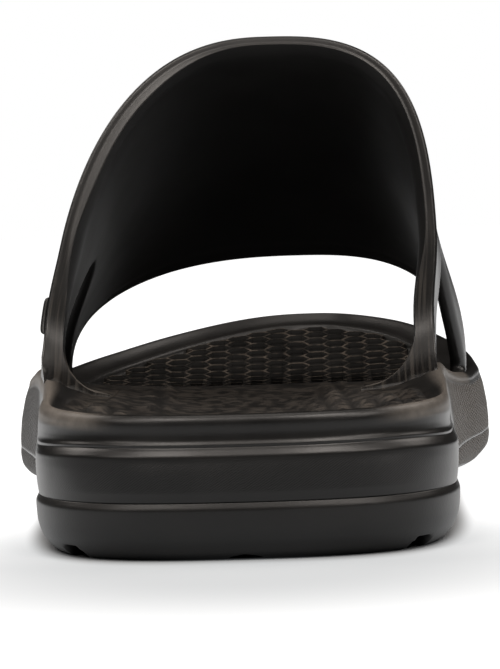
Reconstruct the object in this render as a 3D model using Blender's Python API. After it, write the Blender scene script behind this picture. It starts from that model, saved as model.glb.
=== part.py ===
"""Pool slide sandal, left foot: moulded vamp and midsole, outsole, insole and a bare side plate.

Metres, +Z up. The toe points to +Y and the medial side is +X. The floor is Z = 0.
"""

import bmesh
import bpy
import numpy as np
from mathutils import Matrix, Vector

MM = 0.001
COLLECTION = "pool_slide_sandal"
WELD = 0.01 * MM
SLIVER = 0.005 * MM

# Overall size
LENGTH = 286.0
HEEL_ROUND = 40.0
HEEL_POWER = 2.6
TOE_ROUND = 70.0
TOE_POWER = 2.4
TOE_TIP_X = 14.0

# Fineness of the sole and of the vamp
SIDE_STEPS = 36
FILL_RINGS = (0.0, 0.4, 0.75)
SPINE_START = 46.0
SPINE_END = 222.0
VAMP_ALONG = (0.0, 0.008, 0.027, 0.06, 0.12, 0.24, 0.36, 0.48, 0.60, 0.72, 0.84, 0.95, 0.985, 1.0)
VAMP_ACROSS = 20
MIDDLE = 0.5
SIDE_RISE = (0.06, 0.09, 0.12, 0.15, 0.18, 0.21, 0.25, 0.30, 0.37, 0.48, 0.60, 0.73, 0.86)
WINDOW_RINGS = (0.0, 0.09, 0.28, 0.62, 0.88, 0.965, 1.0)

# Sole by station, in millimetres from the back of the heel
STATION_COLUMNS = ("along", "half_lateral", "half_medial", "bottom", "joint", "rim_lateral", "rim_medial",
                   "bed", "draft_lateral", "draft_medial", "edge_lateral", "edge_medial",
                   "drop_lateral", "drop_medial", "rim_round", "tuck")
STATION_ROWS = (
    (0.0, 42.1, 42.4, 0.0, 11.0, 28.1, 28.1, 22.4, 1.6, 1.6, 7.0, 7.0, 3.0, 3.0, 2.4, 0.72),
    (20.0, 42.1, 42.6, 0.0, 11.0, 28.7, 28.7, 22.0, 1.1, 0.9, 7.2, 7.2, 3.0, 3.0, 2.2, 0.72),
    (45.0, 42.1, 42.6, 0.0, 11.0, 29.3, 29.3, 21.6, 1.0, 0.8, 8.0, 8.5, 3.4, 3.4, 1.6, 0.72),
    (75.0, 43.2, 42.7, 0.0, 10.8, 29.9, 29.9, 22.6, 0.8, 1.5, 14.5, 17.5, 3.8, 3.8, 1.0, 0.85),
    (100.0, 45.4, 44.0, 2.0, 10.6, 30.6, 30.2, 24.2, 0.7, 2.6, 17.5, 19.0, 4.2, 3.8, 0.8, 1.1),
    (125.0, 48.4, 46.4, 2.8, 10.2, 29.6, 27.4, 24.8, 1.6, 3.0, 16.0, 15.0, 3.8, 2.6, 0.9, 1.3),
    (150.0, 51.8, 49.4, 1.6, 9.4, 27.2, 24.6, 22.6, 2.6, 2.8, 16.5, 13.5, 3.0, 2.2, 1.1, 1.45),
    (175.0, 54.6, 53.0, 0.0, 8.6, 24.4, 23.2, 20.0, 3.2, 2.6, 17.5, 14.0, 2.6, 2.6, 1.3, 1.5),
    (200.0, 55.25, 55.25, 0.0, 8.2, 22.1, 23.2, 18.2, 3.4, 2.6, 16.0, 13.0, 2.6, 2.6, 1.3, 1.5),
    (225.0, 52.6, 54.8, 0.6, 8.9, 22.1, 24.2, 18.8, 3.6, 2.8, 11.0, 9.5, 2.6, 2.6, 1.3, 1.4),
    (250.0, 45.0, 53.2, 3.4, 11.4, 24.6, 26.4, 22.2, 3.6, 3.0, 9.0, 9.0, 2.6, 2.6, 1.3, 1.2),
    (270.0, 37.0, 49.6, 7.0, 14.6, 28.1, 29.6, 26.0, 3.5, 3.1, 9.0, 9.0, 2.6, 2.6, 1.3, 1.0),
    (286.0, 29.0, 44.0, 10.8, 17.8, 31.6, 31.6, 29.1, 3.3, 3.3, 9.0, 9.0, 2.6, 2.6, 1.3, 1.0),
)
SOLE = dict(zip(STATION_COLUMNS, np.array(STATION_ROWS).T))

# Outer wall, as a share of its height, with its insets in millimetres
OUTSOLE_COLUMNS = ("share", "under", "lip")
OUTSOLE_ROWS = (
    (0.0, 6.6, 0.0),
    (0.05, 4.9, 0.0),
    (0.18, 2.7, 0.0),
    (0.36, 1.1, 0.0),
    (0.6, 0.2, 0.0),
    (0.84, 0.0, 0.0),
    (0.95, 0.0, 0.3),
    (1.0, 0.0, 1.0),
)
OUTSOLE_WALL = dict(zip(OUTSOLE_COLUMNS, np.array(OUTSOLE_ROWS).T))
MIDSOLE_COLUMNS = ("share", "inset", "draft", "heel_step")
MIDSOLE_ROWS = (
    (0.0, 0.8, 0.0, 0.0),
    (0.06, 0.25, 0.0, 0.0),
    (0.16, 0.05, 0.02, 0.0),
    (0.38, 0.0, 0.13, 0.0),
    (0.54, 0.0, 0.28, 0.12),
    (0.575, 0.0, 0.32, 0.62),
    (0.604, 0.0, 0.35, 1.0),
    (0.632, 0.0, 0.38, 0.92),
    (0.666, 0.0, 0.42, 0.49),
    (0.705, 0.0, 0.46, 0.6),
    (0.87, 0.0, 0.76, 0.45),
)
MIDSOLE_WALL = dict(zip(MIDSOLE_COLUMNS, np.array(MIDSOLE_ROWS).T))
HEEL_STEP = 1.8
HEEL_STEP_FADE = (52.0, 84.0)
HEEL_STEP_FALL = 0.07
HEEL_STEP_FALL_ALONG = (3.0, 32.0)
RIM_TURN = np.pi / 4
SLOPE_SHARES = (0.15, 0.35, 0.6, 1.0)
SLOPE_LEVEL = 0.1

# Insole and the gaps round it
INSOLE_THICK = 3.0
GAP = 0.3
BED_CUP_POWER = 2.6

# Vamp edges: outer line of the throat edge and of the toe edge
EDGE_COLUMNS = ("lateral_x", "medial_x", "crown_x", "base_z", "crown_z", "base_y", "crown_y",
                "lateral_wide", "lateral_high", "medial_wide", "medial_high", "root_z",
                "lateral_lean", "medial_lean")
THROAT_ROW = (-42.7, 41.5, 5.1, 30.4, 101.5, 95.0, 118.0, 2.33, 2.10, 2.85, 4.77, 21.0, 1.0, 1.4)
TOE_ROW = (-46.3, 49.8, 11.2, 25.0, 51.8, 186.0, 212.0, 2.4, 2.4, 2.78, 2.78, 17.0, 0.0, 0.0)
THROAT_EDGE = dict(zip(EDGE_COLUMNS, THROAT_ROW))
TOE_EDGE = dict(zip(EDGE_COLUMNS, TOE_ROW))
LEAN_HEIGHTS = (58.0, 40.0)
CROWN_SWELL = 2.5
LATERAL_HOLLOW = 2.5
EDGE_SAMPLES = 400
NEAR = 0.01

# Vamp wall and its rounded, beaded edges
WALL = 3.6
THROAT_BEAD = 1.3
BEAD_REACH = 6.0
EDGE_ROUND = 2.2
THROAT_CORNER = 0.8
THROAT_FACE = 2.5
THROAT_ROLL = 2.6
LATERAL_LEG_FILLET = 6.5
MEDIAL_LEG_FILLET = 7.5
LATERAL_LEG_FLARE = (1.5, 9.0)
FOOT_LEVEL = 0.85
TOE_LEG_FILLET = 2.5
LEG_FILLET_SHARE = 0.3
FLUSH_INSET = 0.1
THROAT_FILLET = 13.0
TOE_FILLET = 8.0
FILLET_SHARE = 0.16

# Side windows, in shares of the side panel
PANEL_SHARE = 0.225
WINDOW_COLUMNS = ("along", "up", "half_long", "half_high", "lean")
LATERAL_WINDOW = dict(zip(WINDOW_COLUMNS, (0.426, 0.443, 0.26, 0.291, -0.10)))
MEDIAL_WINDOW = dict(zip(WINDOW_COLUMNS, (0.467, 0.388, 0.297, 0.345, -0.10)))
WINDOW_CORNER = 0.28

# Lugs: grooves under the outsole
GROOVE_WIDE = 5.5
GROOVE_DEEP = 2.6
GROOVE_LONG = 17.0
HEEL_GROOVE = (7.0, 1.1)
RIM_GROOVES = (0, 5, 9, 13, 17, 21, 25, 29, 33, 39, 43, 47, 51, 55, 59, 63, 67)
CROSS_GROOVES = (28.0, 52.0, 178.0, 196.0, 214.0)
CROSS_GROOVE_WIDE = 3.4
CROSS_GROOVE_MARGIN = 22.0

# Bare plate on the lateral side of the vamp
PLATE_ALONG = (0.035, 0.125)
PLATE_UP = (0.38, 0.55)
PLATE_THICK = 1.0
PLATE_STEPS = (8, 6)

FINISHES = {
    "upper_midsole": ((0.016, 0.015, 0.015, 1.0), 0.52),
    "outsole": ((0.014, 0.013, 0.013, 1.0), 0.58),
    "insole": ((0.020, 0.019, 0.018, 1.0), 0.62),
    "side_plate": ((0.018, 0.017, 0.017, 1.0), 0.45),
}


def through(stations, values, at):
    """Value of a smooth curve through a table's rows, level wherever its rows are level."""
    steps = np.diff(values) / np.diff(stations)
    before, after = steps[:-1], steps[1:]
    turning = before * after <= 0
    middle = np.where(turning, 0.0, 2 * before * after / np.where(turning, 1.0, before + after))
    slopes = np.concatenate([steps[:1], middle, steps[-1:]])
    at = np.clip(at, stations[0], stations[-1])
    row = np.clip(np.searchsorted(stations, at, side="right") - 1, 0, len(stations) - 2)
    span = stations[row + 1] - stations[row]
    t = (at - stations[row]) / span
    start = values[row] * (1 + 2 * t) * (1 - t) ** 2 + slopes[row] * span * t * (1 - t) ** 2
    end = values[row + 1] * t * t * (3 - 2 * t) + slopes[row + 1] * span * t * t * (t - 1)
    return start + end


def sole(column, along):
    """One column of the sole's stations at the places asked for."""
    return through(SOLE["along"], SOLE[column], along)


def at_side(name, lateral, along):
    """One column of the sole's stations, for the side that each place is on."""
    return np.where(lateral, sole(name + "_lateral", along), sole(name + "_medial", along))


def end_round(along):
    """Share of the full width left by the round heel and toe."""
    heel = np.clip(1 - along / HEEL_ROUND, 0, 1)
    toe = np.clip((along - LENGTH + TOE_ROUND) / TOE_ROUND, 0, 1)
    return (1 - heel ** HEEL_POWER) ** (1 / HEEL_POWER) * (1 - toe ** TOE_POWER) ** (1 / TOE_POWER)


class Outline:
    """Plan of the sole: from the heel up the lateral side to the toe and back down the medial side."""

    def __init__(self, steps):
        turn = np.linspace(0, np.pi, steps + 1)
        along = LENGTH * (1 - np.cos(turn)) / 2
        self.along = np.concatenate([along, along[-2:0:-1]])
        self.lateral = np.arange(2 * steps) <= steps
        keep = end_round(self.along)
        tip = np.where(self.along > LENGTH / 2, TOE_TIP_X, 0.0)
        half = at_side("half", self.lateral, self.along) * np.where(self.lateral, -1, 1)
        self.points = np.column_stack([half * keep + tip * (1 - keep), self.along])
        chord = np.roll(self.points, -1, axis=0) - np.roll(self.points, 1, axis=0)
        chord /= np.linalg.norm(chord, axis=1)[:, None]
        self.inward = np.column_stack([chord[:, 1], -chord[:, 0]])
        self.draft = at_side("draft", self.lateral, self.along)
        self.rim = at_side("rim", self.lateral, self.along)
        self.edge = at_side("edge", self.lateral, self.along)
        self.drop = at_side("drop", self.lateral, self.along)
        self.crest = self.draft + sole("rim_round", self.along)

    def ring(self, inset, height):
        """Outline moved inward, at a height for each point."""
        plan = self.points + self.inward * np.broadcast_to(inset, self.along.shape)[:, None]
        return np.column_stack([plan, np.broadcast_to(height, self.along.shape)])

    def fill(self, edge, share, height):
        """Ring between the spine and an edge ring; height is a function of along and share."""
        along = np.clip(self.along, SPINE_START, SPINE_END)
        middle = (sole("half_medial", along) - sole("half_lateral", along)) / 2
        plan = np.column_stack([middle, along])
        plan = plan + (edge[:, :2] - plan) * share
        return np.column_stack([plan, height(plan[:, 1], share)])

    def bed(self, along, share):
        """Top of the insole from its middle line, share 0, to its edge, share 1."""
        cup = share ** BED_CUP_POWER
        return sole("bed", along) * (1 - cup) + (self.rim - self.drop) * cup


def ease(value, start, stop):
    """Smooth step from 0 at start to 1 at stop."""
    t = np.clip((value - start) / (stop - start), 0, 1)
    return t * t * (3 - 2 * t)


def hollow(t):
    """Fall of the slope inside the rim, 0 at its crest and 1 at the insole: level first, then hollow."""
    return 1 - (1 - (1 + SLOPE_LEVEL) * t * t / (t + SLOPE_LEVEL)) ** 2


def ground(x, y):
    """Top of the midsole along its sides: the rim, then the slope down to the insole's edge."""
    lateral = x < 0
    crest = at_side("draft", lateral, y) + sole("rim_round", y)
    inset = at_side("half", lateral, y) - np.abs(x) - crest
    share = np.clip(inset / (at_side("edge", lateral, y) - crest), 0, 1)
    return at_side("rim", lateral, y) - at_side("drop", lateral, y) * hollow(share)


def mesh_object(name, verts, faces):
    """Object of one welded, outward-facing mesh from points in millimetres."""
    placed = (np.asarray(verts) - np.array([0.0, LENGTH / 2, 0.0])) * MM
    mesh = bpy.data.meshes.new(name)
    mesh.from_pydata(placed.tolist(), [], faces)
    shape = bmesh.new()
    shape.from_mesh(mesh)
    bmesh.ops.remove_doubles(shape, verts=shape.verts, dist=WELD)
    bmesh.ops.dissolve_degenerate(shape, edges=shape.edges, dist=SLIVER)
    bmesh.ops.recalc_face_normals(shape, faces=shape.faces)
    shape.to_mesh(mesh)
    shape.free()
    mesh.shade_smooth()
    return bpy.data.objects.new(name, mesh)


def skin(name, rings):
    """Closed skin through rings that start and end on the spine."""
    count = len(rings[0])
    here = np.arange(count)
    after = (here + 1) % count
    faces = []
    for level in range(len(rings) - 1):
        low = level * count
        high = low + count
        faces += np.column_stack([low + here, low + after, high + after, high + here]).tolist()
    return mesh_object(name, np.concatenate(rings), faces)


def make_outsole(outline):
    """Ground piece, up to the groove round the sole."""
    bottom = sole("bottom", outline.along)
    top = sole("joint", outline.along) - GAP / 2
    tuck = sole("tuck", outline.along)
    table = zip(OUTSOLE_WALL["share"], OUTSOLE_WALL["under"], OUTSOLE_WALL["lip"])
    walls = [outline.ring(under * tuck + lip, bottom + share * (top - bottom)) for share, under, lip in table]
    under = [outline.fill(walls[0], share, lambda along, _: sole("bottom", along)) for share in FILL_RINGS]
    over = [outline.fill(walls[-1], share, lambda along, _: sole("joint", along) - GAP / 2)
            for share in reversed(FILL_RINGS)]
    return skin("outsole", under + walls + over)


def make_midsole(outline):
    """Midsole with its stepped heel, rim and the recess for the insole."""
    foot = sole("joint", outline.along) + GAP / 2
    rim = outline.rim
    step = HEEL_STEP * ease(outline.along, HEEL_STEP_FADE[1], HEEL_STEP_FADE[0])
    fall = HEEL_STEP_FALL * ease(outline.along, *HEEL_STEP_FALL_ALONG)
    walls = []
    for share, inset, draft in zip(MIDSOLE_WALL["share"], MIDSOLE_WALL["inset"], MIDSOLE_WALL["draft"]):
        depth = through(MIDSOLE_WALL["share"], MIDSOLE_WALL["heel_step"], share + fall)
        shoulder = inset + draft * outline.draft + depth * step
        high = foot + share * (rim - foot)
        walls.append(outline.ring(shoulder, high))
    crest = outline.crest
    width = outline.edge - crest
    turn = shoulder + (crest - shoulder) * (1 - np.cos(RIM_TURN))
    top = [outline.ring(turn, high + (rim - high) * np.sin(RIM_TURN)), outline.ring(crest, rim)]
    top += [outline.ring(crest + width * t, rim - outline.drop * hollow(t)) for t in SLOPE_SHARES]
    recess = outline.ring(outline.edge, rim - outline.drop - INSOLE_THICK - GAP)
    under = [outline.fill(walls[0], share, lambda along, _: sole("joint", along) + GAP / 2)
             for share in FILL_RINGS]
    floor = [outline.fill(recess, share, lambda along, at: outline.bed(along, at) - INSOLE_THICK - GAP)
             for share in reversed(FILL_RINGS)]
    return skin("upper_midsole", under + walls + top + [recess] + floor)


def make_insole(outline):
    """Insole that follows the footbed, a gap away from the recess."""
    width = outline.edge + GAP
    edge = outline.rim - outline.drop
    low = outline.ring(width, edge - INSOLE_THICK)
    high = outline.ring(width, edge)
    under = [outline.fill(low, share, lambda along, at: outline.bed(along, at) - INSOLE_THICK)
             for share in FILL_RINGS]
    over = [outline.fill(high, share, outline.bed) for share in reversed(FILL_RINGS)]
    return skin("insole", under + [low, high] + over)


def edge_line(row):
    """Outer line of one vamp edge, evenly spaced from the lateral root over the crown to the medial root."""
    turn = np.linspace(0, np.pi, EDGE_SAMPLES)
    lateral = turn < np.pi / 2
    wide = np.where(lateral, row["lateral_wide"], row["medial_wide"])
    high = np.where(lateral, row["lateral_high"], row["medial_high"])
    reach = np.where(lateral, row["lateral_x"], row["medial_x"]) - row["crown_x"]
    rise = np.sin(turn).clip(0, 1) ** (2 / high)
    y = row["base_y"] + (row["crown_y"] - row["base_y"]) * rise
    z = row["base_z"] + (row["crown_z"] - row["base_z"]) * rise
    lean = np.where(lateral, row["lateral_lean"], row["medial_lean"]) * ease(z, *LEAN_HEIGHTS)
    x = row["crown_x"] + reach * np.abs(np.cos(turn)) ** (2 / wide) - lean
    line = np.column_stack([x, y, z])
    start = line[:1] * [1, 1, 0] + [0, 0, row["root_z"]]
    end = line[-1:] * [1, 1, 0] + [0, 0, row["root_z"]]
    line = np.concatenate([start, line, end])
    run = np.concatenate([[0], np.cumsum(np.linalg.norm(np.diff(line, axis=0), axis=1))])
    even = np.linspace(0, run[-1], EDGE_SAMPLES)
    return np.column_stack([np.interp(even, run, line[:, axis]) for axis in range(3)])


class Vamp:
    """Vamp wall as a function of across (lateral root 0, medial root 1) and along (throat 0, toe 1)."""

    def __init__(self):
        self.throat = edge_line(THROAT_EDGE)
        self.toe = edge_line(TOE_EDGE)
        self.places = np.linspace(0, 1, EDGE_SAMPLES)

    def outer(self, across, along):
        """Smooth outer surface before its edges are rounded."""
        across = np.clip(across, 0, 1)
        back = np.stack([np.interp(across, self.places, self.throat[:, axis]) for axis in range(3)], -1)
        front = np.stack([np.interp(across, self.places, self.toe[:, axis]) for axis in range(3)], -1)
        along = np.asarray(along)[..., None]
        gentle = along * along * (3 - 2 * along)
        share = np.concatenate([gentle, along, along], -1)
        turn = np.pi * across
        sideways = np.where(across < MIDDLE, LATERAL_HOLLOW * np.sin(2 * turn) ** 2, 0.0)
        swell = np.stack([sideways, np.zeros_like(turn), CROWN_SWELL * np.sin(turn)], -1)
        return back + (front - back) * share + 4 * along * (1 - along) * swell

    def normal(self, across, along):
        """Outward direction of the wall."""
        over = self.outer(across + NEAR, along) - self.outer(across - NEAR, along)
        ahead = self.outer(across, along + NEAR) - self.outer(across, along - NEAR)
        facing = np.cross(over, ahead)
        facing /= np.linalg.norm(facing, axis=-1)[..., None]
        return facing

    def place(self, across, along, depth):
        """Points of the wall at a depth, its feet swept back at the throat and forward at the toe."""
        point = self.outer(across, along) - self.normal(across, along) * depth[..., None]
        above = point[..., 2] - ground(point[..., 0], point[..., 1])
        back = fillet(above, THROAT_FILLET) * np.clip(1 - along / FILLET_SHARE, 0, 1)
        front = fillet(above, TOE_FILLET) * np.clip(1 - (1 - along) / FILLET_SHARE, 0, 1)
        point[..., 1] += front - back
        lateral = across < MIDDLE
        wall = at_side("half", lateral, point[..., 1]) - at_side("draft", lateral, point[..., 1])
        flush = wall - FLUSH_INSET
        point[..., 0] = np.clip(point[..., 0], -flush, flush)
        return point

    def skins(self, across, along, from_window):
        """Outer and inner skin: a faced and rolled throat, round edges elsewhere and feet that flare."""
        base = self.outer(across, along)
        length = np.linalg.norm(self.outer(across, np.ones_like(along))
                                - self.outer(across, np.zeros_like(along)), axis=-1)
        from_throat = along * length
        free = np.clip(np.minimum((1 - along) * length, from_window) / EDGE_ROUND, 0, 1)
        thick = WALL + THROAT_BEAD * np.exp(-(from_throat / BEAD_REACH) ** 2)
        half = thick / 2 * np.sqrt(1 - (1 - free) ** 2)
        outer = np.maximum(thick / 2 - half, fillet(from_throat, THROAT_CORNER))
        roll = (thick - THROAT_FACE) * fillet(from_throat, THROAT_ROLL) / THROAT_ROLL
        inner = np.minimum(thick / 2 + half, thick - roll)
        lateral = across < MIDDLE
        over_rim = base[..., 2] - at_side("rim", lateral, base[..., 1])
        over_slope = over_rim + FOOT_LEVEL * at_side("drop", lateral, base[..., 1])
        behind = np.clip(1 - along / LEG_FILLET_SHARE, 0, 1)
        foot = np.where(lateral, LATERAL_LEG_FILLET, MEDIAL_LEG_FILLET)
        foot = TOE_LEG_FILLET + (foot - TOE_LEG_FILLET) * behind
        inner = inner + fillet(over_slope, foot) * free
        flare, reach = LATERAL_LEG_FLARE
        outer = outer - np.where(lateral, flare * fillet(over_rim, reach) / reach, 0.0) * behind * free
        return self.place(across, along, outer), self.place(across, along, inner)


def fillet(above, radius):
    """Spread of a round fillet at a height above the rim."""
    t = np.clip(above / radius, 0, 1)
    return radius * (1 - np.sqrt(1 - (1 - t) ** 2))


def window_line(window, turn):
    """Rounded triangle of a side window, in shares of its panel, by the angle from straight up."""
    side = window["half_long"] * (np.sin(turn) - WINDOW_CORNER * np.sin(2 * turn))
    up = window["half_high"] * (np.cos(turn) + WINDOW_CORNER * np.cos(2 * turn))
    return window["along"] + side + window["lean"] * up, window["up"] + up


def side_panel(vamp, medial):
    """Grid of one side panel round its window: rows run from the window to the panel's border."""
    along = np.array(VAMP_ALONG)
    rise = np.array(SIDE_RISE)
    border_along = np.concatenate([along, np.ones_like(rise), along[::-1], np.zeros_like(rise)])
    border_up = np.concatenate([np.zeros_like(along), rise, np.ones_like(along), rise[::-1]])
    window = MEDIAL_WINDOW if medial else LATERAL_WINDOW
    turn = np.arctan2(border_along - window["along"], border_up - window["up"])
    window_along, window_up = window_line(window, turn)
    ring = np.array(WINDOW_RINGS)[:, None]
    panel_along = window_along + (border_along - window_along) * ring
    panel_up = window_up + (border_up - window_up) * ring
    across = panel_up * PANEL_SHARE
    across = 1 - across if medial else across
    place = vamp.outer(across, panel_along)
    from_window = np.linalg.norm(place - place[:1], axis=-1)
    return vamp.skins(across, panel_along, from_window)


def grid_faces(rows, columns, start, closed):
    """Quads of a grid of points, closed along its columns if asked."""
    here = np.arange(columns if closed else columns - 1)
    after = (here + 1) % columns
    faces = []
    for row in range(rows - 1):
        low = start + row * columns
        high = low + columns
        faces += np.column_stack([low + here, low + after, high + after, high + here]).tolist()
    return faces


def make_vamp(vamp):
    """Hollow vamp: two side panels with windows, the bridge between, the throat's face and closed roots."""
    verts = []
    faces = []
    total = 0
    for medial in (False, True):
        for layer in side_panel(vamp, medial):
            rows, columns = layer.shape[:2]
            verts.append(layer.reshape(-1, 3))
            faces += grid_faces(rows, columns, total, True)
            total += rows * columns
    along, across = np.meshgrid(VAMP_ALONG, np.linspace(PANEL_SHARE, 1 - PANEL_SHARE, VAMP_ACROSS))
    for layer in vamp.skins(across, along, np.full_like(along, LENGTH)):
        rows, columns = layer.shape[:2]
        verts.append(layer.reshape(-1, 3))
        faces += grid_faces(rows, columns, total, False)
        total += rows * columns
    side = np.concatenate([[0.0], SIDE_RISE]) * PANEL_SHARE
    throat = np.concatenate([side, across[:, 0], 1 - side[::-1]])
    strips = [(throat, np.zeros_like(throat))]
    strips += [(np.full(len(VAMP_ALONG), root), np.array(VAMP_ALONG)) for root in (0.0, 1.0)]
    for across, along in strips:
        pair = np.stack(vamp.skins(across, along, np.full_like(along, LENGTH)))
        verts.append(pair.reshape(-1, 3))
        faces += grid_faces(2, len(along), total, False)
        total += 2 * len(along)
    return mesh_object("vamp", np.concatenate(verts), faces)


def make_side_plate(vamp):
    """Bare raised plate that follows the lateral side, a gap proud of it."""
    steps_along, steps_up = PLATE_STEPS
    along, up = np.meshgrid(np.linspace(*PLATE_ALONG, steps_along), np.linspace(*PLATE_UP, steps_up))
    across = up * PANEL_SHARE
    outer, _ = vamp.skins(across, along, np.full_like(along, LENGTH))
    facing = vamp.normal(across, along)
    low = outer + facing * GAP
    high = outer + facing * (GAP + PLATE_THICK)
    rows, columns = along.shape
    border = np.concatenate([np.arange(columns), np.arange(1, rows) * columns + columns - 1,
                             np.arange(columns - 2, -1, -1) + (rows - 1) * columns,
                             np.arange(rows - 2, 0, -1) * columns])
    size = rows * columns
    after = np.roll(border, -1)
    faces = grid_faces(rows, columns, 0, False) + grid_faces(rows, columns, size, False)
    faces += np.column_stack([border, after, after + size, border + size]).tolist()
    return mesh_object("side_plate", np.concatenate([low.reshape(-1, 3), high.reshape(-1, 3)]), faces)


def box_cutter(name, centre, along_x, size):
    """Box in millimetres whose own X axis points along a plan direction."""
    place = Matrix.Translation(Vector((centre[0], centre[1] - LENGTH / 2, centre[2])) * MM)
    turn = Matrix.Rotation(np.arctan2(along_x[1], along_x[0]), 4, "Z")
    stretch = Matrix.Diagonal(Vector((size[0] * MM, size[1] * MM, size[2] * MM, 1.0)))
    shape = bmesh.new()
    bmesh.ops.create_cube(shape, size=1.0, matrix=place @ turn @ stretch)
    mesh = bpy.data.meshes.new(name)
    shape.to_mesh(mesh)
    shape.free()
    return bpy.data.objects.new(name, mesh)


def groove_cutters(outline):
    """Grooves between the lugs: short ones round the edge and a few right across."""
    cutters = []
    for index in RIM_GROOVES:
        place = outline.points[index]
        level = sole("bottom", np.array([place[1]]))[0]
        centre = (place[0], place[1], level)
        wide, deep = HEEL_GROOVE if place[1] == 0 else (GROOVE_WIDE, GROOVE_DEEP)
        size = (GROOVE_LONG * 2, wide, deep * 2)
        cutters.append(box_cutter(f"rim_groove_{index}", centre, outline.inward[index], size))
    for along in CROSS_GROOVES:
        place = np.array([along])
        left = -sole("half_lateral", place)[0] + CROSS_GROOVE_MARGIN
        right = sole("half_medial", place)[0] - CROSS_GROOVE_MARGIN
        centre = ((left + right) / 2, along, 0.0)
        size = (right - left, CROSS_GROOVE_WIDE, GROOVE_DEEP * 2)
        cutters.append(box_cutter(f"cross_groove_{along:.0f}", centre, (1.0, 0.0), size))
    return cutters


def combine(target, tool, operation):
    """Exact boolean left as a modifier."""
    change = target.modifiers.new(tool.name, "BOOLEAN")
    change.operation = operation
    change.object = tool
    change.solver = "EXACT"


def finish(target):
    """Plain material for one piece."""
    colour, roughness = FINISHES[target.name]
    material = bpy.data.materials.new(target.name)
    material.use_nodes = True
    shader = material.node_tree.nodes["Principled BSDF"]
    shader.inputs["Base Color"].default_value = colour
    shader.inputs["Roughness"].default_value = roughness
    shader.inputs["Metallic"].default_value = 0.0
    material.diffuse_color = colour
    target.data.materials.append(material)


def main():
    """Build the sandal from its sole up."""
    for thing in list(bpy.data.objects):
        bpy.data.objects.remove(thing)
    parts = bpy.data.collections.new(COLLECTION)
    tools = bpy.data.collections.new("cutters")
    bpy.context.scene.collection.children.link(parts)
    bpy.context.scene.collection.children.link(tools)
    outline = Outline(SIDE_STEPS)
    vamp = Vamp()
    outsole = make_outsole(outline)
    upper = make_midsole(outline)
    pieces = (upper, make_insole(outline), outsole, make_side_plate(vamp))
    moulded = make_vamp(vamp)
    combine(upper, moulded, "UNION")
    cutters = groove_cutters(outline)
    for cutter in cutters:
        combine(outsole, cutter, "DIFFERENCE")
    for tool in [moulded] + cutters:
        tools.objects.link(tool)
        tool.hide_render = True
        tool.display_type = "WIRE"
    for piece in pieces:
        parts.objects.link(piece)
        finish(piece)


main()
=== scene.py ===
"""Looks of a left pool slide: moulded foam skins, honeycomb footbed, studio floor, light and camera.

Shapes are worked out in millimetres from the back of the heel: X to the medial side, Y to the toe, Z up.
When a mesh is made, they become metres in the frame, whose origin is on the floor under the shoe's middle.
"""

from __future__ import annotations

import logging
import math
from dataclasses import dataclass, field
from enum import Enum
from typing import Callable, Sequence, Union

import bmesh
import bpy
import numpy as np
from mathutils import Matrix, Vector

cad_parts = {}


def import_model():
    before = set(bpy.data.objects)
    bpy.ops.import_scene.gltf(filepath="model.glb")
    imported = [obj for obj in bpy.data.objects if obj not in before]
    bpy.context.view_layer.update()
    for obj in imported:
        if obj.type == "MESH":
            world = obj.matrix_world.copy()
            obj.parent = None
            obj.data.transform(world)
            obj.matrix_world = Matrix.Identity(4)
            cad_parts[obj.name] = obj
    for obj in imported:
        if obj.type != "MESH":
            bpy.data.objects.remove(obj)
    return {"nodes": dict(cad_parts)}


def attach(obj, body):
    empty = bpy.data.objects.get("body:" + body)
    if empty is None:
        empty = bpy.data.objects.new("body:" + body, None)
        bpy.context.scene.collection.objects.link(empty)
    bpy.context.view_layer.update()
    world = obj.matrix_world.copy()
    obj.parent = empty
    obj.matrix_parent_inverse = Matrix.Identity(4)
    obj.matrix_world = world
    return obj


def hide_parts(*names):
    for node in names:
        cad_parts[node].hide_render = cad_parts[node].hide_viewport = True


LOG = logging.getLogger("pool_slide")
BODY = "root"
MM = 0.001
LENGTH = 286.0
WELD = 0.004 * MM  # points nearer than this are joined
NEAR = 0.004  # step in shares that gives a surface's slope
STILL = 1e-6  # a shorter move, in millimetres, is none
TURN = 2 * math.pi
OUTLINE_STEPS = 300
WAIST = (92.0, 112.0)  # where soil and the outsole's weave set in
TOE_BLEND = (262.0, 215.0)  # where the soil of both sides becomes alike
UV_LAYER = "surface"
WHITE = (1.0, 1.0, 1.0)
BLACK = (0.0, 0.0, 0.0)

Array = np.ndarray
Colour = tuple[float, float, float]
Place = tuple[float, float, float]
Pair = tuple[float, float]
Band = tuple[float, float, float]  # low, high and the soft edge outside them


class Side(Enum):
    """Side of a left shoe: the sign of its X."""

    LATERAL = -1
    MEDIAL = 1


class Mark(Enum):
    """Name of a mask that a mesh carries for its finish."""

    WEAVE = "weave"
    TWILL = "twill"
    # dust; on rib crests and the honeycomb's wall tops it is also a painted highlight
    DUST_AND_HIGHLIGHT = "dust"
    # soil; on the rim's crest it is also a painted highlight
    SOIL_AND_HIGHLIGHT = "soil"
    FIBRE = "fibre"
    INSIDE = "inside"


def ease(value: Array, start: float, stop: float) -> Array:
    """Smooth step: three t squared less two t cubed, with t running from start to stop.

    Args:
        value: Places along the step.
        start: Where the step is still 0.
        stop: Where the step is 1; it may lie before start.

    Returns:
        Share of the step at each place.
    """
    t = np.clip((np.asarray(value) - start) / (stop - start), 0.0, 1.0)
    return t * t * (3 - 2 * t)


def band(value: Array, low: float, high: float, soft: float) -> Array:
    """Mask that is 1 between low and high and fades to 0 over a soft edge outside them."""
    return ease(value, low - soft, low) * ease(value, high + soft, high)


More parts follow.
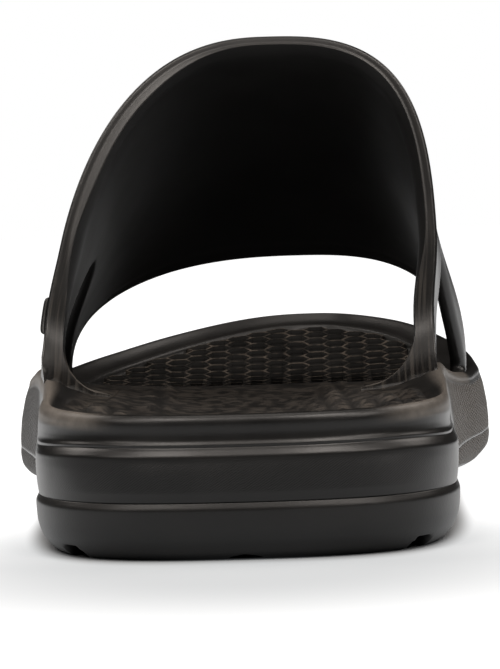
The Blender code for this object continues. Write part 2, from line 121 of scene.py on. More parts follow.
@dataclass(frozen=True)
class Curve:
    """Smooth curve through a table's rows: cubic pieces, level wherever the rows are level."""

    stations: Array
    values: Array

    def __call__(self, at: Array) -> Array:
        """Value of the curve: Hermite cubics whose slopes are the harmonic means of the rows' steps.

        Args:
            at: Places along the first column.

        Returns:
            Value at each place.
        """
        steps = np.diff(self.values) / np.diff(self.stations)
        before, after = steps[:-1], steps[1:]
        turning = before * after <= 0
        middle = np.where(turning, 0.0, 2 * before * after / np.where(turning, 1.0, before + after))
        slopes = np.concatenate([steps[:1], middle, steps[-1:]])
        at = np.clip(at, self.stations[0], self.stations[-1])
        row = np.clip(np.searchsorted(self.stations, at, side="right") - 1, 0, len(self.stations) - 2)
        span = self.stations[row + 1] - self.stations[row]
        t = (at - self.stations[row]) / span
        start = self.values[row] * (1 + 2 * t) * (1 - t) ** 2 + slopes[row] * span * t * (1 - t) ** 2
        end = self.values[row + 1] * t * t * (3 - 2 * t) + slopes[row + 1] * span * t * t * (t - 1)
        return start + end


class Table:
    """Short table with named columns; its first column is the one that the others follow."""

    def __init__(self, columns: Sequence[str], rows: Sequence[Sequence[float]]) -> None:
        """Make a curve for each column after the first.

        Args:
            columns: Names of the columns.
            rows: Rows of the table, in order of the first column.
        """
        values = np.array(rows).T
        self.curves = {name: Curve(values[0], column) for name, column in zip(columns[1:], values[1:])}

    def at(self, column: str, place: Array) -> Array:
        """Value of one column at places along the first."""
        return self.curves[column](np.asarray(place, float))


SOLE = Table(
    ("along", "half_lateral", "half_medial", "bottom", "joint", "rim_lateral", "rim_medial", "bed",
     "draft_lateral", "draft_medial", "edge_lateral", "edge_medial", "drop_lateral", "drop_medial",
     "rim_round", "tuck"),
    (
        (0.0, 42.1, 42.4, 0.0, 11.35, 28.1, 28.1, 22.4, 1.6, 1.6, 7.0, 7.0, 3.0, 3.0, 2.4, 0.72),
        (20.0, 42.1, 42.6, 0.0, 11.35, 28.7, 28.7, 22.0, 1.1, 0.9, 7.2, 7.2, 3.0, 3.0, 2.2, 0.72),
        (45.0, 42.1, 42.6, 0.0, 11.2, 29.3, 29.3, 21.6, 1.0, 0.8, 8.0, 8.5, 3.4, 3.4, 1.6, 0.72),
        (75.0, 43.2, 42.7, 0.0, 10.8, 29.9, 29.9, 22.6, 0.8, 1.5, 14.5, 17.5, 3.8, 3.8, 1.0, 0.85),
        (100.0, 45.4, 44.0, 2.0, 10.6, 30.6, 30.2, 24.2, 0.7, 2.6, 17.5, 19.0, 4.2, 3.8, 0.8, 1.1),
        (125.0, 48.4, 46.4, 2.8, 10.2, 29.6, 27.4, 24.8, 1.6, 3.0, 16.0, 15.0, 3.8, 2.6, 0.9, 1.3),
        (150.0, 51.8, 49.4, 1.6, 9.4, 27.2, 24.6, 22.6, 2.6, 2.8, 16.5, 13.5, 3.0, 2.2, 1.1, 1.45),
        (175.0, 54.6, 53.0, 0.0, 8.6, 24.4, 23.2, 20.0, 3.2, 2.6, 17.5, 14.0, 2.6, 2.6, 1.3, 1.5),
        (200.0, 55.25, 55.25, 0.0, 8.2, 22.1, 23.2, 18.2, 3.4, 2.6, 16.0, 13.0, 2.6, 2.6, 1.3, 1.5),
        (225.0, 52.6, 54.8, 0.6, 8.9, 22.1, 24.2, 18.8, 3.6, 2.8, 11.0, 9.5, 2.6, 2.6, 1.3, 1.4),
        (250.0, 45.0, 53.2, 3.4, 11.4, 24.6, 26.4, 22.2, 3.6, 3.0, 9.0, 9.0, 2.6, 2.6, 1.3, 1.2),
        (270.0, 37.0, 49.6, 7.0, 14.6, 28.1, 29.6, 26.0, 3.5, 3.1, 9.0, 9.0, 2.6, 2.6, 1.3, 1.0),
        (286.0, 29.0, 44.0, 10.8, 17.8, 31.6, 31.6, 29.1, 3.3, 3.3, 9.0, 9.0, 2.6, 2.6, 1.3, 1.0),
    ),
)


def at_side(name: str, lateral: Array, along: Array) -> Array:
    """Column of the sole's table, lateral or medial, for the side that each place is on."""
    return np.where(lateral, SOLE.at(name + "_lateral", along), SOLE.at(name + "_medial", along))


def middle_line(along: Array) -> Array:
    """X of the sole's middle line at places along the shoe."""
    return (SOLE.at("half_medial", along) - SOLE.at("half_lateral", along)) / 2


def grid_quads(rows: int, columns: int, closed: bool) -> Array:
    """Corner numbers of a grid's faces.

    Args:
        rows: Number of rows of points.
        columns: Number of columns.
        closed: Whether the last column joins the first.

    Returns:
        Four numbers for each face, by row and column.
    """
    here = np.arange(columns if closed else columns - 1)
    after = (here + 1) % columns
    low = np.arange(rows - 1)[:, None] * columns
    return np.stack([low + here, low + after, low + columns + after, low + columns + here], -1)


@dataclass
class Patch:
    """Grid of points in millimetres, with surface coordinates and masks; it may close round its columns."""

    points: Array
    surface: Array
    closed: bool = False
    marks: dict[Mark, Array] = field(default_factory=dict)

    def quads(self) -> Array:
        """Corner numbers of the grid's faces, one row for each."""
        return grid_quads(*self.points.shape[:2], self.closed).reshape(-1, 4)

    def corners(self) -> Array:
        """Surface coordinates of each face's corners; a closed grid has one more column of them."""
        s = self.surface
        return np.stack([s[:-1, :-1], s[:-1, 1:], s[1:, 1:], s[1:, :-1]], 2).reshape(-1, 2)


def to_frame(points: Array) -> Array:
    """Points in metres in the frame from points in millimetres from the back of the heel."""
    return (points - np.array([0.0, LENGTH / 2, 0.0])) * MM


def weld(mesh: bpy.types.Mesh) -> None:
    """Close seams and poles, drop faces without area and turn every face outward.

    Args:
        mesh: Mesh to change.
    """
    shape = bmesh.new()
    shape.from_mesh(mesh)
    bmesh.ops.remove_doubles(shape, verts=shape.verts, dist=WELD)
    bmesh.ops.dissolve_degenerate(shape, edges=shape.edges, dist=WELD / 2)
    bmesh.ops.recalc_face_normals(shape, faces=shape.faces)
    shape.to_mesh(mesh)
    shape.free()


def link(name: str, data: bpy.types.ID) -> bpy.types.Object:
    """New object of a mesh, lamp or camera, linked to the scene.

    Args:
        name: Name of the object.
        data: What it holds.

    Returns:
        The object.
    """
    made = bpy.data.objects.new(name, data)
    bpy.context.scene.collection.objects.link(made)
    return made


def set_mark(mesh: bpy.types.Mesh, mark: Mark, values: Array) -> None:
    """Store a mask on the mesh's points."""
    layer = mesh.attributes.new(mark.value, "FLOAT", "POINT")
    layer.data.foreach_set("value", values.ravel().astype(np.float32))


def sealed(mesh: bpy.types.Mesh) -> bpy.types.Object:
    """Object of a mesh with closed seams and smooth shading.

    Args:
        mesh: Finished mesh, whose name the object takes.

    Returns:
        The object, linked to the scene.
    """
    weld(mesh)
    mesh.shade_smooth()
    return link(mesh.name, mesh)


def mesh_of(name: str, patches: Sequence[Patch]) -> bpy.types.Object:
    """Object of one welded mesh from several grids.

    Args:
        name: Name of the piece.
        patches: Grids whose common borders have the same points.

    Returns:
        The object, linked to the scene, at the origin.
    """
    starts = np.cumsum([0] + [p.points.shape[0] * p.points.shape[1] for p in patches])
    verts = to_frame(np.concatenate([p.points.reshape(-1, 3) for p in patches]))
    quads = np.concatenate([p.quads() + start for p, start in zip(patches, starts)])
    mesh = bpy.data.meshes.new(name)
    mesh.vertices.add(len(verts))
    mesh.vertices.foreach_set("co", verts.ravel())
    mesh.loops.add(quads.size)
    mesh.loops.foreach_set("vertex_index", quads.ravel())
    mesh.polygons.add(len(quads))
    mesh.polygons.foreach_set("loop_start", np.arange(0, quads.size, 4))
    layer = mesh.uv_layers.new(name=UV_LAYER)
    layer.data.foreach_set("uv", np.concatenate([p.corners() for p in patches]).ravel())
    for mark in Mark:
        values = [np.broadcast_to(p.marks.get(mark, 0.0), p.points.shape[:2]).ravel() for p in patches]
        set_mark(mesh, mark, np.concatenate(values))
    mesh.update(calc_edges=True)
    return sealed(mesh)


Value = Union[float, Colour, "Wire"]


class Wire:
    """Shader socket that takes part in Python expressions: each operator adds a Math node."""

    def __init__(self, graph: Graph, socket: bpy.types.NodeSocket) -> None:
        """Wrap one output socket of a graph."""
        self.graph = graph
        self.socket = socket

    def __add__(self, other: Value) -> Wire:
        """Sum."""
        return self.graph.maths("ADD", self, other)

    __radd__ = __add__

    def __sub__(self, other: Value) -> Wire:
        """Difference."""
        return self.graph.maths("SUBTRACT", self, other)

    def __rsub__(self, other: Value) -> Wire:
        """Difference from a number."""
        return self.graph.maths("SUBTRACT", other, self)

    def __mul__(self, other: Value) -> Wire:
        """Product."""
        return self.graph.maths("MULTIPLY", self, other)

    __rmul__ = __mul__

    def __truediv__(self, other: Value) -> Wire:
        """Quotient."""
        return self.graph.maths("DIVIDE", self, other)

    def __rtruediv__(self, other: Value) -> Wire:
        """Quotient of a number by the value."""
        return self.graph.maths("DIVIDE", other, self)

    def __pow__(self, other: Value) -> Wire:
        """Power."""
        return self.graph.maths("POWER", self, other)

    def __rpow__(self, other: Value) -> Wire:
        """Power of a number."""
        return self.graph.maths("POWER", other, self)

    def sine(self) -> Wire:
        """Sine of an angle in radians."""
        return self.graph.maths("SINE", self)

    def between(self, start: float, stop: float) -> Wire:
        """Smooth step of the value from 0 at start to 1 at stop."""
        return self.graph.node("ShaderNodeMapRange", {"interpolation_type": "SMOOTHSTEP"},
                               {"Value": self, "From Min": start, "From Max": stop})


class Graph:
    """Node graph of a material or a world, built round the shader that it starts with.

    A Mix node has inputs and outputs for every kind of data; those for colours go by number.
    """

    MIX_LOW, MIX_HIGH, MIX_COLOUR = 6, 7, 2

    def __init__(self, owner: Union[bpy.types.Material, bpy.types.World], shader: str) -> None:
        """Open the owner's nodes and find its shader by name.

        Args:
            owner: Material or world.
            shader: Name of its shader node.
        """
        owner.use_nodes = True
        self.tree = owner.node_tree
        self.shader = self.tree.nodes[shader]

    def node(self, kind: str, settings: dict[str, object], inputs: dict[Union[str, int], Value],
             output: Union[str, int] = 0) -> Wire:
        """Add one node.

        Args:
            kind: Blender's name of the node type.
            settings: Properties of the node, set first.
            inputs: Values or wires of its sockets, by name or number.
            output: Socket to return, by name or number.

        Returns:
            The chosen output as a wire.
        """
        made = self.tree.nodes.new(kind)
        for name, value in settings.items():
            setattr(made, name, value)
        for name, value in inputs.items():
            self.feed(made.inputs[name], value)
        return Wire(self, made.outputs[output])

    def feed(self, socket: bpy.types.NodeSocket, value: Value) -> None:
        """Link a wire to a socket, or set a constant on it.

        Args:
            socket: Input of a node.
            value: Wire, number or colour.
        """
        if isinstance(value, Wire):
            self.tree.links.new(value.socket, socket)
        elif isinstance(value, tuple) and socket.type == "RGBA":
            socket.default_value = (*value, 1.0)
        else:
            socket.default_value = value

    def maths(self, operation: str, *values: Value) -> Wire:
        """Math node of an operation on values."""
        return self.node("ShaderNodeMath", {"operation": operation}, dict(enumerate(values)))

    def mark(self, mark: Mark) -> Wire:
        """Mask that the mesh carries."""
        return self.node("ShaderNodeAttribute", {"attribute_name": mark.value}, {}, "Fac")

    def place(self) -> Wire:
        """Object coordinates in metres."""
        return self.node("ShaderNodeTexCoord", {}, {}, "Object")

    def noise(self, size_mm: float, detail: float = 2.0) -> Wire:
        """Noise on Object coordinates whose lumps are about size_mm across."""
        return self.node("ShaderNodeTexNoise", {"noise_dimensions": "3D"},
                         {"Vector": self.place(), "Scale": 1 / (size_mm * MM), "Detail": detail})

    def surface(self) -> Wire:
        """Surface coordinates in millimetres: across, then up."""
        return self.node("ShaderNodeUVMap", {"uv_map": UV_LAYER}, {})

    def split(self, vector: Wire) -> tuple[Wire, Wire]:
        """First two parts of a vector."""
        first = self.node("ShaderNodeSeparateXYZ", {}, {0: vector})
        return first, Wire(self, first.socket.node.outputs[1])

    def mix(self, share: Wire, low: Value, high: Value) -> Wire:
        """Colour between two colours."""
        inputs = {0: share, self.MIX_LOW: low, self.MIX_HIGH: high}
        return self.node("ShaderNodeMix", {"data_type": "RGBA"}, inputs, self.MIX_COLOUR)

    def dress(self, **sockets: Value) -> None:
        """Feed the shader's sockets, named with underscores for spaces.

        Args:
            sockets: Wires or constants by name.
        """
        for name, value in sockets.items():
            self.feed(self.shader.inputs[name.replace("_", " ").title().replace("Ior", "IOR")], value)


def new_material(name: str) -> tuple[bpy.types.Material, Graph]:
    """Material with a Principled shader, and its graph."""
    material = bpy.data.materials.new(name)
    return material, Graph(material, "Principled BSDF")


@dataclass(frozen=True)
class Spots:
    """Soft mask cut from noise: size of its lumps, detail, and the noise's range that runs from 0 to 1."""

    size_mm: float
    detail: float
    span: Pair

    def mask(self, graph: Graph) -> Wire:
        """Mask from 0 to 1."""
        return graph.noise(self.size_mm, self.detail).between(*self.span)


@dataclass(frozen=True)
class FoamFinish:
    """Moulded foam skin: near-black satin with a fine pebble.

    Where marked it has a pressed weave, a twill, dust, a film of soil and brushed fibres; the dust on crests
    and wall tops and the soil on the rim's crest also paint highlights.
    """

    name: str
    colour: Colour = (0.0045, 0.0042, 0.0040)
    worn_colour: Colour = (0.0070, 0.0066, 0.0062)
    dust_and_highlight_colour: Colour = (0.075, 0.062, 0.050)
    soil_and_highlight_colour: Colour = (0.20, 0.176, 0.152)
    specular: float = 0.36
    roughness: float = 0.36
    inside_rough: float = 0.22
    weave_rough: float = 0.22
    cloud_rough: float = 0.16
    dirt_rough: float = 0.3
    pebble_mm: float = 0.55
    pebble_detail: float = 3.0
    pebble_depth: float = 0.020
    swell_mm: float = 9.0
    swell_depth: float = 0.05
    lump_mm: float = 2.4
    lump_depth: float = 0.22
    weave_long: float = 5.0
    weave_high: float = 0.9
    weave_depth: float = 0.30
    twill_mm: float = 0.75
    twill_slant: float = 1.6
    twill_depth: float = 0.045
    fibre_long: float = 16.0
    fibre_wide: float = 0.5
    fibre_detail: float = 2.0
    fibre_span: Pair = (0.42, 0.70)
    fibre_share: float = 0.11
    cloud_mm: float = 14.0
    cloud_detail: float = 4.0
    cloud_worn: Pair = (0.35, 0.7)
    cloud_dust: Pair = (0.30, 0.75)
    cloud_share: float = 0.2
    dust_and_highlight_share: float = 0.42
    patches: Spots = Spots(2.6, 4.0, (0.42, 0.60))
    specks: Spots = Spots(0.9, 1.0, (0.70, 0.76))
    speck_share: float = 0.5
    film: Spots = Spots(2.0, 3.0, (0.2, 0.8))
    film_low: float = 0.8
    film_more: float = 0.4
    film_weave: float = 0.6

    def weave(self, graph: Graph) -> Wire:
        """Pressed weave from -1 to 1 where marked: a sine along the wall times a sine up it.

        Args:
            graph: Graph to add it to.

        Returns:
            Height of the weave.
        """
        across, up = graph.split(graph.surface())
        dots = (across * (TURN / self.weave_long)).sine() * (up * (TURN / self.weave_high)).sine()
        return dots * graph.mark(Mark.WEAVE)

    def fibres(self, graph: Graph) -> Wire:
        """Brushed streaks from 0 to 1 where marked: noise on the surface coordinates, drawn out lengthwise.

        Args:
            graph: Graph to add them to.

        Returns:
            Share of the streaks.
        """
        scale = (1 / self.fibre_long, 1 / self.fibre_wide, 1.0)
        drawn = graph.node("ShaderNodeMapping", {}, {"Vector": graph.surface(), "Scale": scale})
        streaks = graph.node("ShaderNodeTexNoise", {"noise_dimensions": "2D"},
                             {"Vector": drawn, "Scale": 1.0, "Detail": self.fibre_detail})
        return streaks.between(*self.fibre_span) * graph.mark(Mark.FIBRE)

    def relief(self, graph: Graph, weave: Wire) -> Wire:
        """Height of the skin in millimetres: pebble, swell, lumps of dust, the weave and a diagonal twill.

        Args:
            graph: Graph to add it to.
            weave: Height of the weave from -1 to 1.

        Returns:
            Height for a Bump node.
        """
        across, up = graph.split(graph.surface())
        twill = ((across + up * self.twill_slant) * (TURN / self.twill_mm)).sine()
        pebble = graph.noise(self.pebble_mm, self.pebble_detail) * self.pebble_depth
        swell = graph.noise(self.swell_mm) * self.swell_depth
        lumps = graph.noise(self.lump_mm) * graph.mark(Mark.DUST_AND_HIGHLIGHT) * self.lump_depth
        return (pebble + swell + lumps + weave * (self.weave_depth / 2)
                + twill * graph.mark(Mark.TWILL) * (self.twill_depth / 2))

    def dust(self, graph: Graph, cloud: Wire) -> Wire:
        """Share of dust where marked: patches and clouds, strewn with specks; on rib crests and wall tops it
        is also a painted highlight.

        Args:
            graph: Graph to add it to.
            cloud: Broad noise.

        Returns:
            Share of dust.
        """
        marked = graph.mark(Mark.DUST_AND_HIGHLIGHT)
        clouds = cloud.between(*self.cloud_dust) * self.cloud_share
        uneven = self.patches.mask(graph) * (1 - self.cloud_share) + clouds
        return marked * uneven * self.dust_and_highlight_share + marked * self.specks.mask(graph) * self.speck_share

    def soil(self, graph: Graph, weave: Wire) -> Wire:
        """Share of soil: an uneven film where marked, thicker on the weave's dots, and the fibres; on the
        rim's crest the film is also a painted highlight.
        """
        film = self.film.mask(graph) * self.film_more + self.film_low + weave * self.film_weave
        return graph.mark(Mark.SOIL_AND_HIGHLIGHT) * film + self.fibres(graph) * self.fibre_share

    def material(self) -> bpy.types.Material:
        """Material of the skin.

        Returns:
            The material, ready for a mesh.
        """
        material, graph = new_material(self.name)
        cloud = graph.noise(self.cloud_mm, self.cloud_detail)
        weave = self.weave(graph)
        dust = self.dust(graph, cloud)
        soil = self.soil(graph, weave)
        worn = graph.mix(cloud.between(*self.cloud_worn), self.colour, self.worn_colour)
        # dust and soil colours; on crests and wall tops they are also painted highlights
        skin = graph.mix(soil, graph.mix(dust, worn, self.dust_and_highlight_colour), self.soil_and_highlight_colour)
        rough = (self.roughness + (cloud - 0.5) * self.cloud_rough + graph.mark(Mark.WEAVE) * self.weave_rough
                 + dust * self.dirt_rough + soil * self.dirt_rough
                 + graph.mark(Mark.INSIDE) * self.inside_rough)
        height = self.relief(graph, weave)
        bump = graph.node("ShaderNodeBump", {}, {"Strength": 1.0, "Distance": MM, "Height": height})
        graph.dress(base_color=skin, roughness=rough, normal=bump, specular_ior_level=self.specular)
        return material


class Outline:
    """Plan of the sole: from the heel up the lateral side to the toe and back down the medial side."""

    HEEL_ROUND = 40.0
    HEEL_POWER = 2.6
    TOE_ROUND = 70.0
    TOE_POWER = 2.4
    TOE_TIP_X = 14.0
    SPINE = (46.0, 222.0)

    def __init__(self, steps: int) -> None:
        """Place the points; both sides have the same stations, closer together at the ends.

        Args:
            steps: Number of steps from heel to toe on each side.
        """
        turn = np.linspace(0, np.pi, steps + 1)
        along = LENGTH * (1 - np.cos(turn)) / 2
        self.along = np.concatenate([along, along[-2:0:-1]])
        self.lateral = np.arange(2 * steps) <= steps
        keep = self.end_round(self.along)
        tip = np.where(self.along > LENGTH / 2, self.TOE_TIP_X, 0.0)
        half = at_side("half", self.lateral, self.along) * np.where(self.lateral, -1, 1)
        self.points = np.column_stack([half * keep + tip * (1 - keep), self.along])
        chord = np.roll(self.points, -1, axis=0) - np.roll(self.points, 1, axis=0)
        chord /= np.linalg.norm(chord, axis=1)[:, None]
        self.inward = np.column_stack([chord[:, 1], -chord[:, 0]])
        self.draft, self.rim, self.edge, self.drop = (
            at_side(name, self.lateral, self.along) for name in ("draft", "rim", "edge", "drop"))
        self.crest = self.draft + SOLE.at("rim_round", self.along)
        gaps = np.linalg.norm(np.roll(self.points, -1, axis=0) - self.points, axis=1)
        self.run = np.concatenate([[0.0], np.cumsum(gaps)])

    def end_round(self, along: Array) -> Array:
        """Share of the full width left by the heel and toe: superellipse quarters at both ends.

        Args:
            along: Places from the back of the heel.

        Returns:
            Share from 0 at the tips to 1.
        """
        heel = np.clip(1 - along / self.HEEL_ROUND, 0, 1)
        toe = np.clip((along - LENGTH + self.TOE_ROUND) / self.TOE_ROUND, 0, 1)
        back = (1 - heel ** self.HEEL_POWER) ** (1 / self.HEEL_POWER)
        return back * (1 - toe ** self.TOE_POWER) ** (1 / self.TOE_POWER)

    def ring(self, inset: Union[Array, float], height: Union[Array, float]) -> Array:
        """Outline moved inward by an inset, at a height for each point."""
        plan = self.points + self.inward * np.broadcast_to(inset, self.along.shape)[:, None]
        return np.column_stack([plan, np.broadcast_to(height, self.along.shape)])

    def spread(self, edge: Array, shares: Sequence[float],
               height: Callable[[Array, Array], Array]) -> list[Array]:
        """Rings that fill the plan of an edge ring.

        Args:
            edge: Ring at share 1.
            shares: Share of each new ring; 0 is the spine.
            height: Height at places across and along.

        Returns:
            One ring for each share.
        """
        along = np.clip(self.along, *self.SPINE)
        spine = np.column_stack([middle_line(along), along])
        plans = [spine + (edge[:, :2] - spine) * share for share in shares]
        return [np.column_stack([plan, height(*plan.T)]) for plan in plans]

    def patch(self, rings: Sequence[Array], marks: dict[Mark, Array]) -> Patch:
        """Closed grid through rings, with the run round the shoe and the way up the rings as coordinates.

        Args:
            rings: Rings in order.
            marks: Masks for rings and points.

        Returns:
            The grid.
        """
        points = np.stack(rings)
        steps = np.linalg.norm(np.diff(points, axis=0), axis=2).mean(axis=1)
        rise = np.concatenate([[0.0], np.cumsum(steps)])
        surface = np.stack(np.broadcast_arrays(self.run[None, :], rise[:, None]), -1)
        return Patch(points, surface, True, marks)


def add_piece(piece: bpy.types.Object, node: str, material: bpy.types.Material) -> bpy.types.Object:
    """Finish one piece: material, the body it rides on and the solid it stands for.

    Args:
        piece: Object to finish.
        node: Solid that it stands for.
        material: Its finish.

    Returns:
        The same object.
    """
    piece.data.materials.append(material)
    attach(piece, BODY)
    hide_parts(node)
    LOG.info("%s: %d faces for %s", piece.name, len(piece.data.polygons), node)
    return piece


def wall_soil(outline: Outline, lateral: float, medial: float) -> Array:
    """Soil on the wall at each point of the outline: from the waist on, with both sides alike at the toe.

    Args:
        outline: Plan of the sole.
        lateral: Share on the lateral side and at the toe.
        medial: Share on the medial side.

    Returns:
        Share at each point.
    """
    more = (medial - lateral) * ease(outline.along, *TOE_BLEND)
    return ease(outline.along, *WAIST) * (lateral + np.where(outline.lateral, 0.0, more))


def hollow(t: Array, soft: float = 0.1) -> Array:
    """Fall of the slope inside the rim, 0 at its crest and 1 at the bed: a soft start, then a hollow."""
    return 1 - (1 - (1 + soft) * t * t / (t + soft)) ** 2


@dataclass
class Footbed:
    """Shape of the footbed and of the slope round it, in plan coordinates."""

    outline: Outline
    cup_power: float = 2.6
    rib_high: float = 0.9
    rib_along: Band = (26.0, 118.0, 9.0)
    rib_middle: float = 80.0
    knuckle_mm: float = 5.2
    knuckle_long: float = 19.0
    knuckle_slant: float = 0.05
    knuckle_swell: float = 0.3
    knuckle_across: Band = (-36.0, -18.0, 3.0)
    flute_mm: float = 4.6
    flute_slant: float = 0.07
    flute_across: Pair = (12.0, 18.0)
    foot_along: Band = (70.0, 135.0, 8.0)
    foot_across: Pair = (18.0, 24.0)

    def __post_init__(self) -> None:
        """Work out the edge of the bed."""
        self.rim_edge = self.outline.ring(self.outline.edge, self.outline.rim - self.outline.drop)

    def side_edges(self, along: Array, inset: float = 0.0) -> tuple[Array, Array]:
        """X of the lateral and the medial edge of the bed at places along the shoe.

        Args:
            along: Places from the back of the heel.
            inset: Distance inward from the edge.

        Returns:
            Lateral and medial X.
        """
        ring = self.outline.ring(self.outline.edge + inset, 0.0)
        left = ring[self.outline.lateral]
        right = ring[~self.outline.lateral]
        left, right = left[np.argsort(left[:, 1])], right[np.argsort(right[:, 1])]
        return np.interp(along, left[:, 1], left[:, 0]), np.interp(along, right[:, 1], right[:, 0])

    def share(self, x: Array, y: Array) -> tuple[Array, Array]:
        """Share of the way from the spine to the edge, and the edge's height there.

        Rays run straight across along the spine and fan out from its two ends.

        Args:
            x: Places across.
            y: Places along.

        Returns:
            Share and edge height.
        """
        spine = np.clip(y, *self.outline.SPINE)
        centre = middle_line(spine)
        angle = np.arctan2(y - spine, x - centre)
        left, right = self.side_edges(y)
        lateral = x < centre
        reach = np.where(lateral, centre - left, right - centre)
        height = at_side("rim", lateral, y) - at_side("drop", lateral, y)
        for end, ahead in zip(self.outline.SPINE, (-1, 1)):
            ring = self.rim_edge[(self.rim_edge[:, 1] - end) * ahead >= 0]
            away = ring[:, :2] - np.array([middle_line(np.array(end)), end])
            turn = np.arctan2(away[:, 1], away[:, 0])
            order = np.argsort(turn)
            beyond = (y - end) * ahead > 0
            length = np.hypot(away[:, 0], away[:, 1])
            reach = np.where(beyond, np.interp(angle, turn[order], length[order]), reach)
            height = np.where(beyond, np.interp(angle, turn[order], ring[order, 2]), height)
        return np.clip(np.hypot(x - centre, y - spine) / reach, 0, 1), height

    def height(self, x: Array, y: Array) -> Array:
        """Top of the bed: its middle line blended to its edge by a power of the share.

        Args:
            x: Places across.
            y: Places along.

        Returns:
            Height in millimetres.
        """
        share, edge = self.share(x, y)
        cup = share ** self.cup_power
        return SOLE.at("bed", y) * (1 - cup) + edge * cup

    def ground(self, x: Array, y: Array) -> Array:
        """Top of the midsole along its sides: the rim, then the hollow slope down to the bed's edge.

        Args:
            x: Places across.
            y: Places along.

        Returns:
            Height in millimetres.
        """
        lateral = x < 0
        crest = at_side("draft", lateral, y) + SOLE.at("rim_round", y)
        inset = at_side("half", lateral, y) - np.abs(x) - crest
        share = np.clip(inset / (at_side("edge", lateral, y) - crest), 0, 1)
        return at_side("rim", lateral, y) - at_side("drop", lateral, y) * hollow(share)

    def ribs(self, x: Array, y: Array) -> Array:
        """Long soft ridges beside the bare pad: knuckles on the lateral side, slanting flutes on the medial.

        Args:
            x: Places across.
            y: Places along.

        Returns:
            Height in millimetres: sizes of cosines across, masked to two strips.
        """
        from_middle = y - self.rib_middle
        knuckle = np.abs(np.cos(np.pi * (x + self.knuckle_slant * from_middle) / self.knuckle_mm))
        swell = np.cos(TURN * y / self.knuckle_long)
        knuckle = knuckle * (1 - self.knuckle_swell + self.knuckle_swell * swell)
        flute = np.abs(np.cos(np.pi * (x + self.flute_slant * from_middle) / self.flute_mm))
        lateral, medial = self.rib_zones(x, y)
        return self.rib_high * (knuckle * lateral + flute * medial)

    def rib_zones(self, x: Array, y: Array) -> tuple[Array, Array]:
        """Masks of the ribbed strips, lateral and medial, which stop short of the vamp's feet.

        Args:
            x: Places across.
            y: Places along.

        Returns:
            Lateral and medial mask.
        """
        by_foot = band(y, *self.foot_along) * ease(np.abs(x), *self.foot_across)
        along = band(y, *self.rib_along) * (1 - by_foot)
        return band(x, *self.knuckle_across) * along, ease(x, *self.flute_across) * along


def ring_mask(values: Array, before: int, after: int) -> Array:
    """Mask for the rings of a grid, as a column: values between rings that have none."""
    return np.pad(values, (before, after))[:, None]


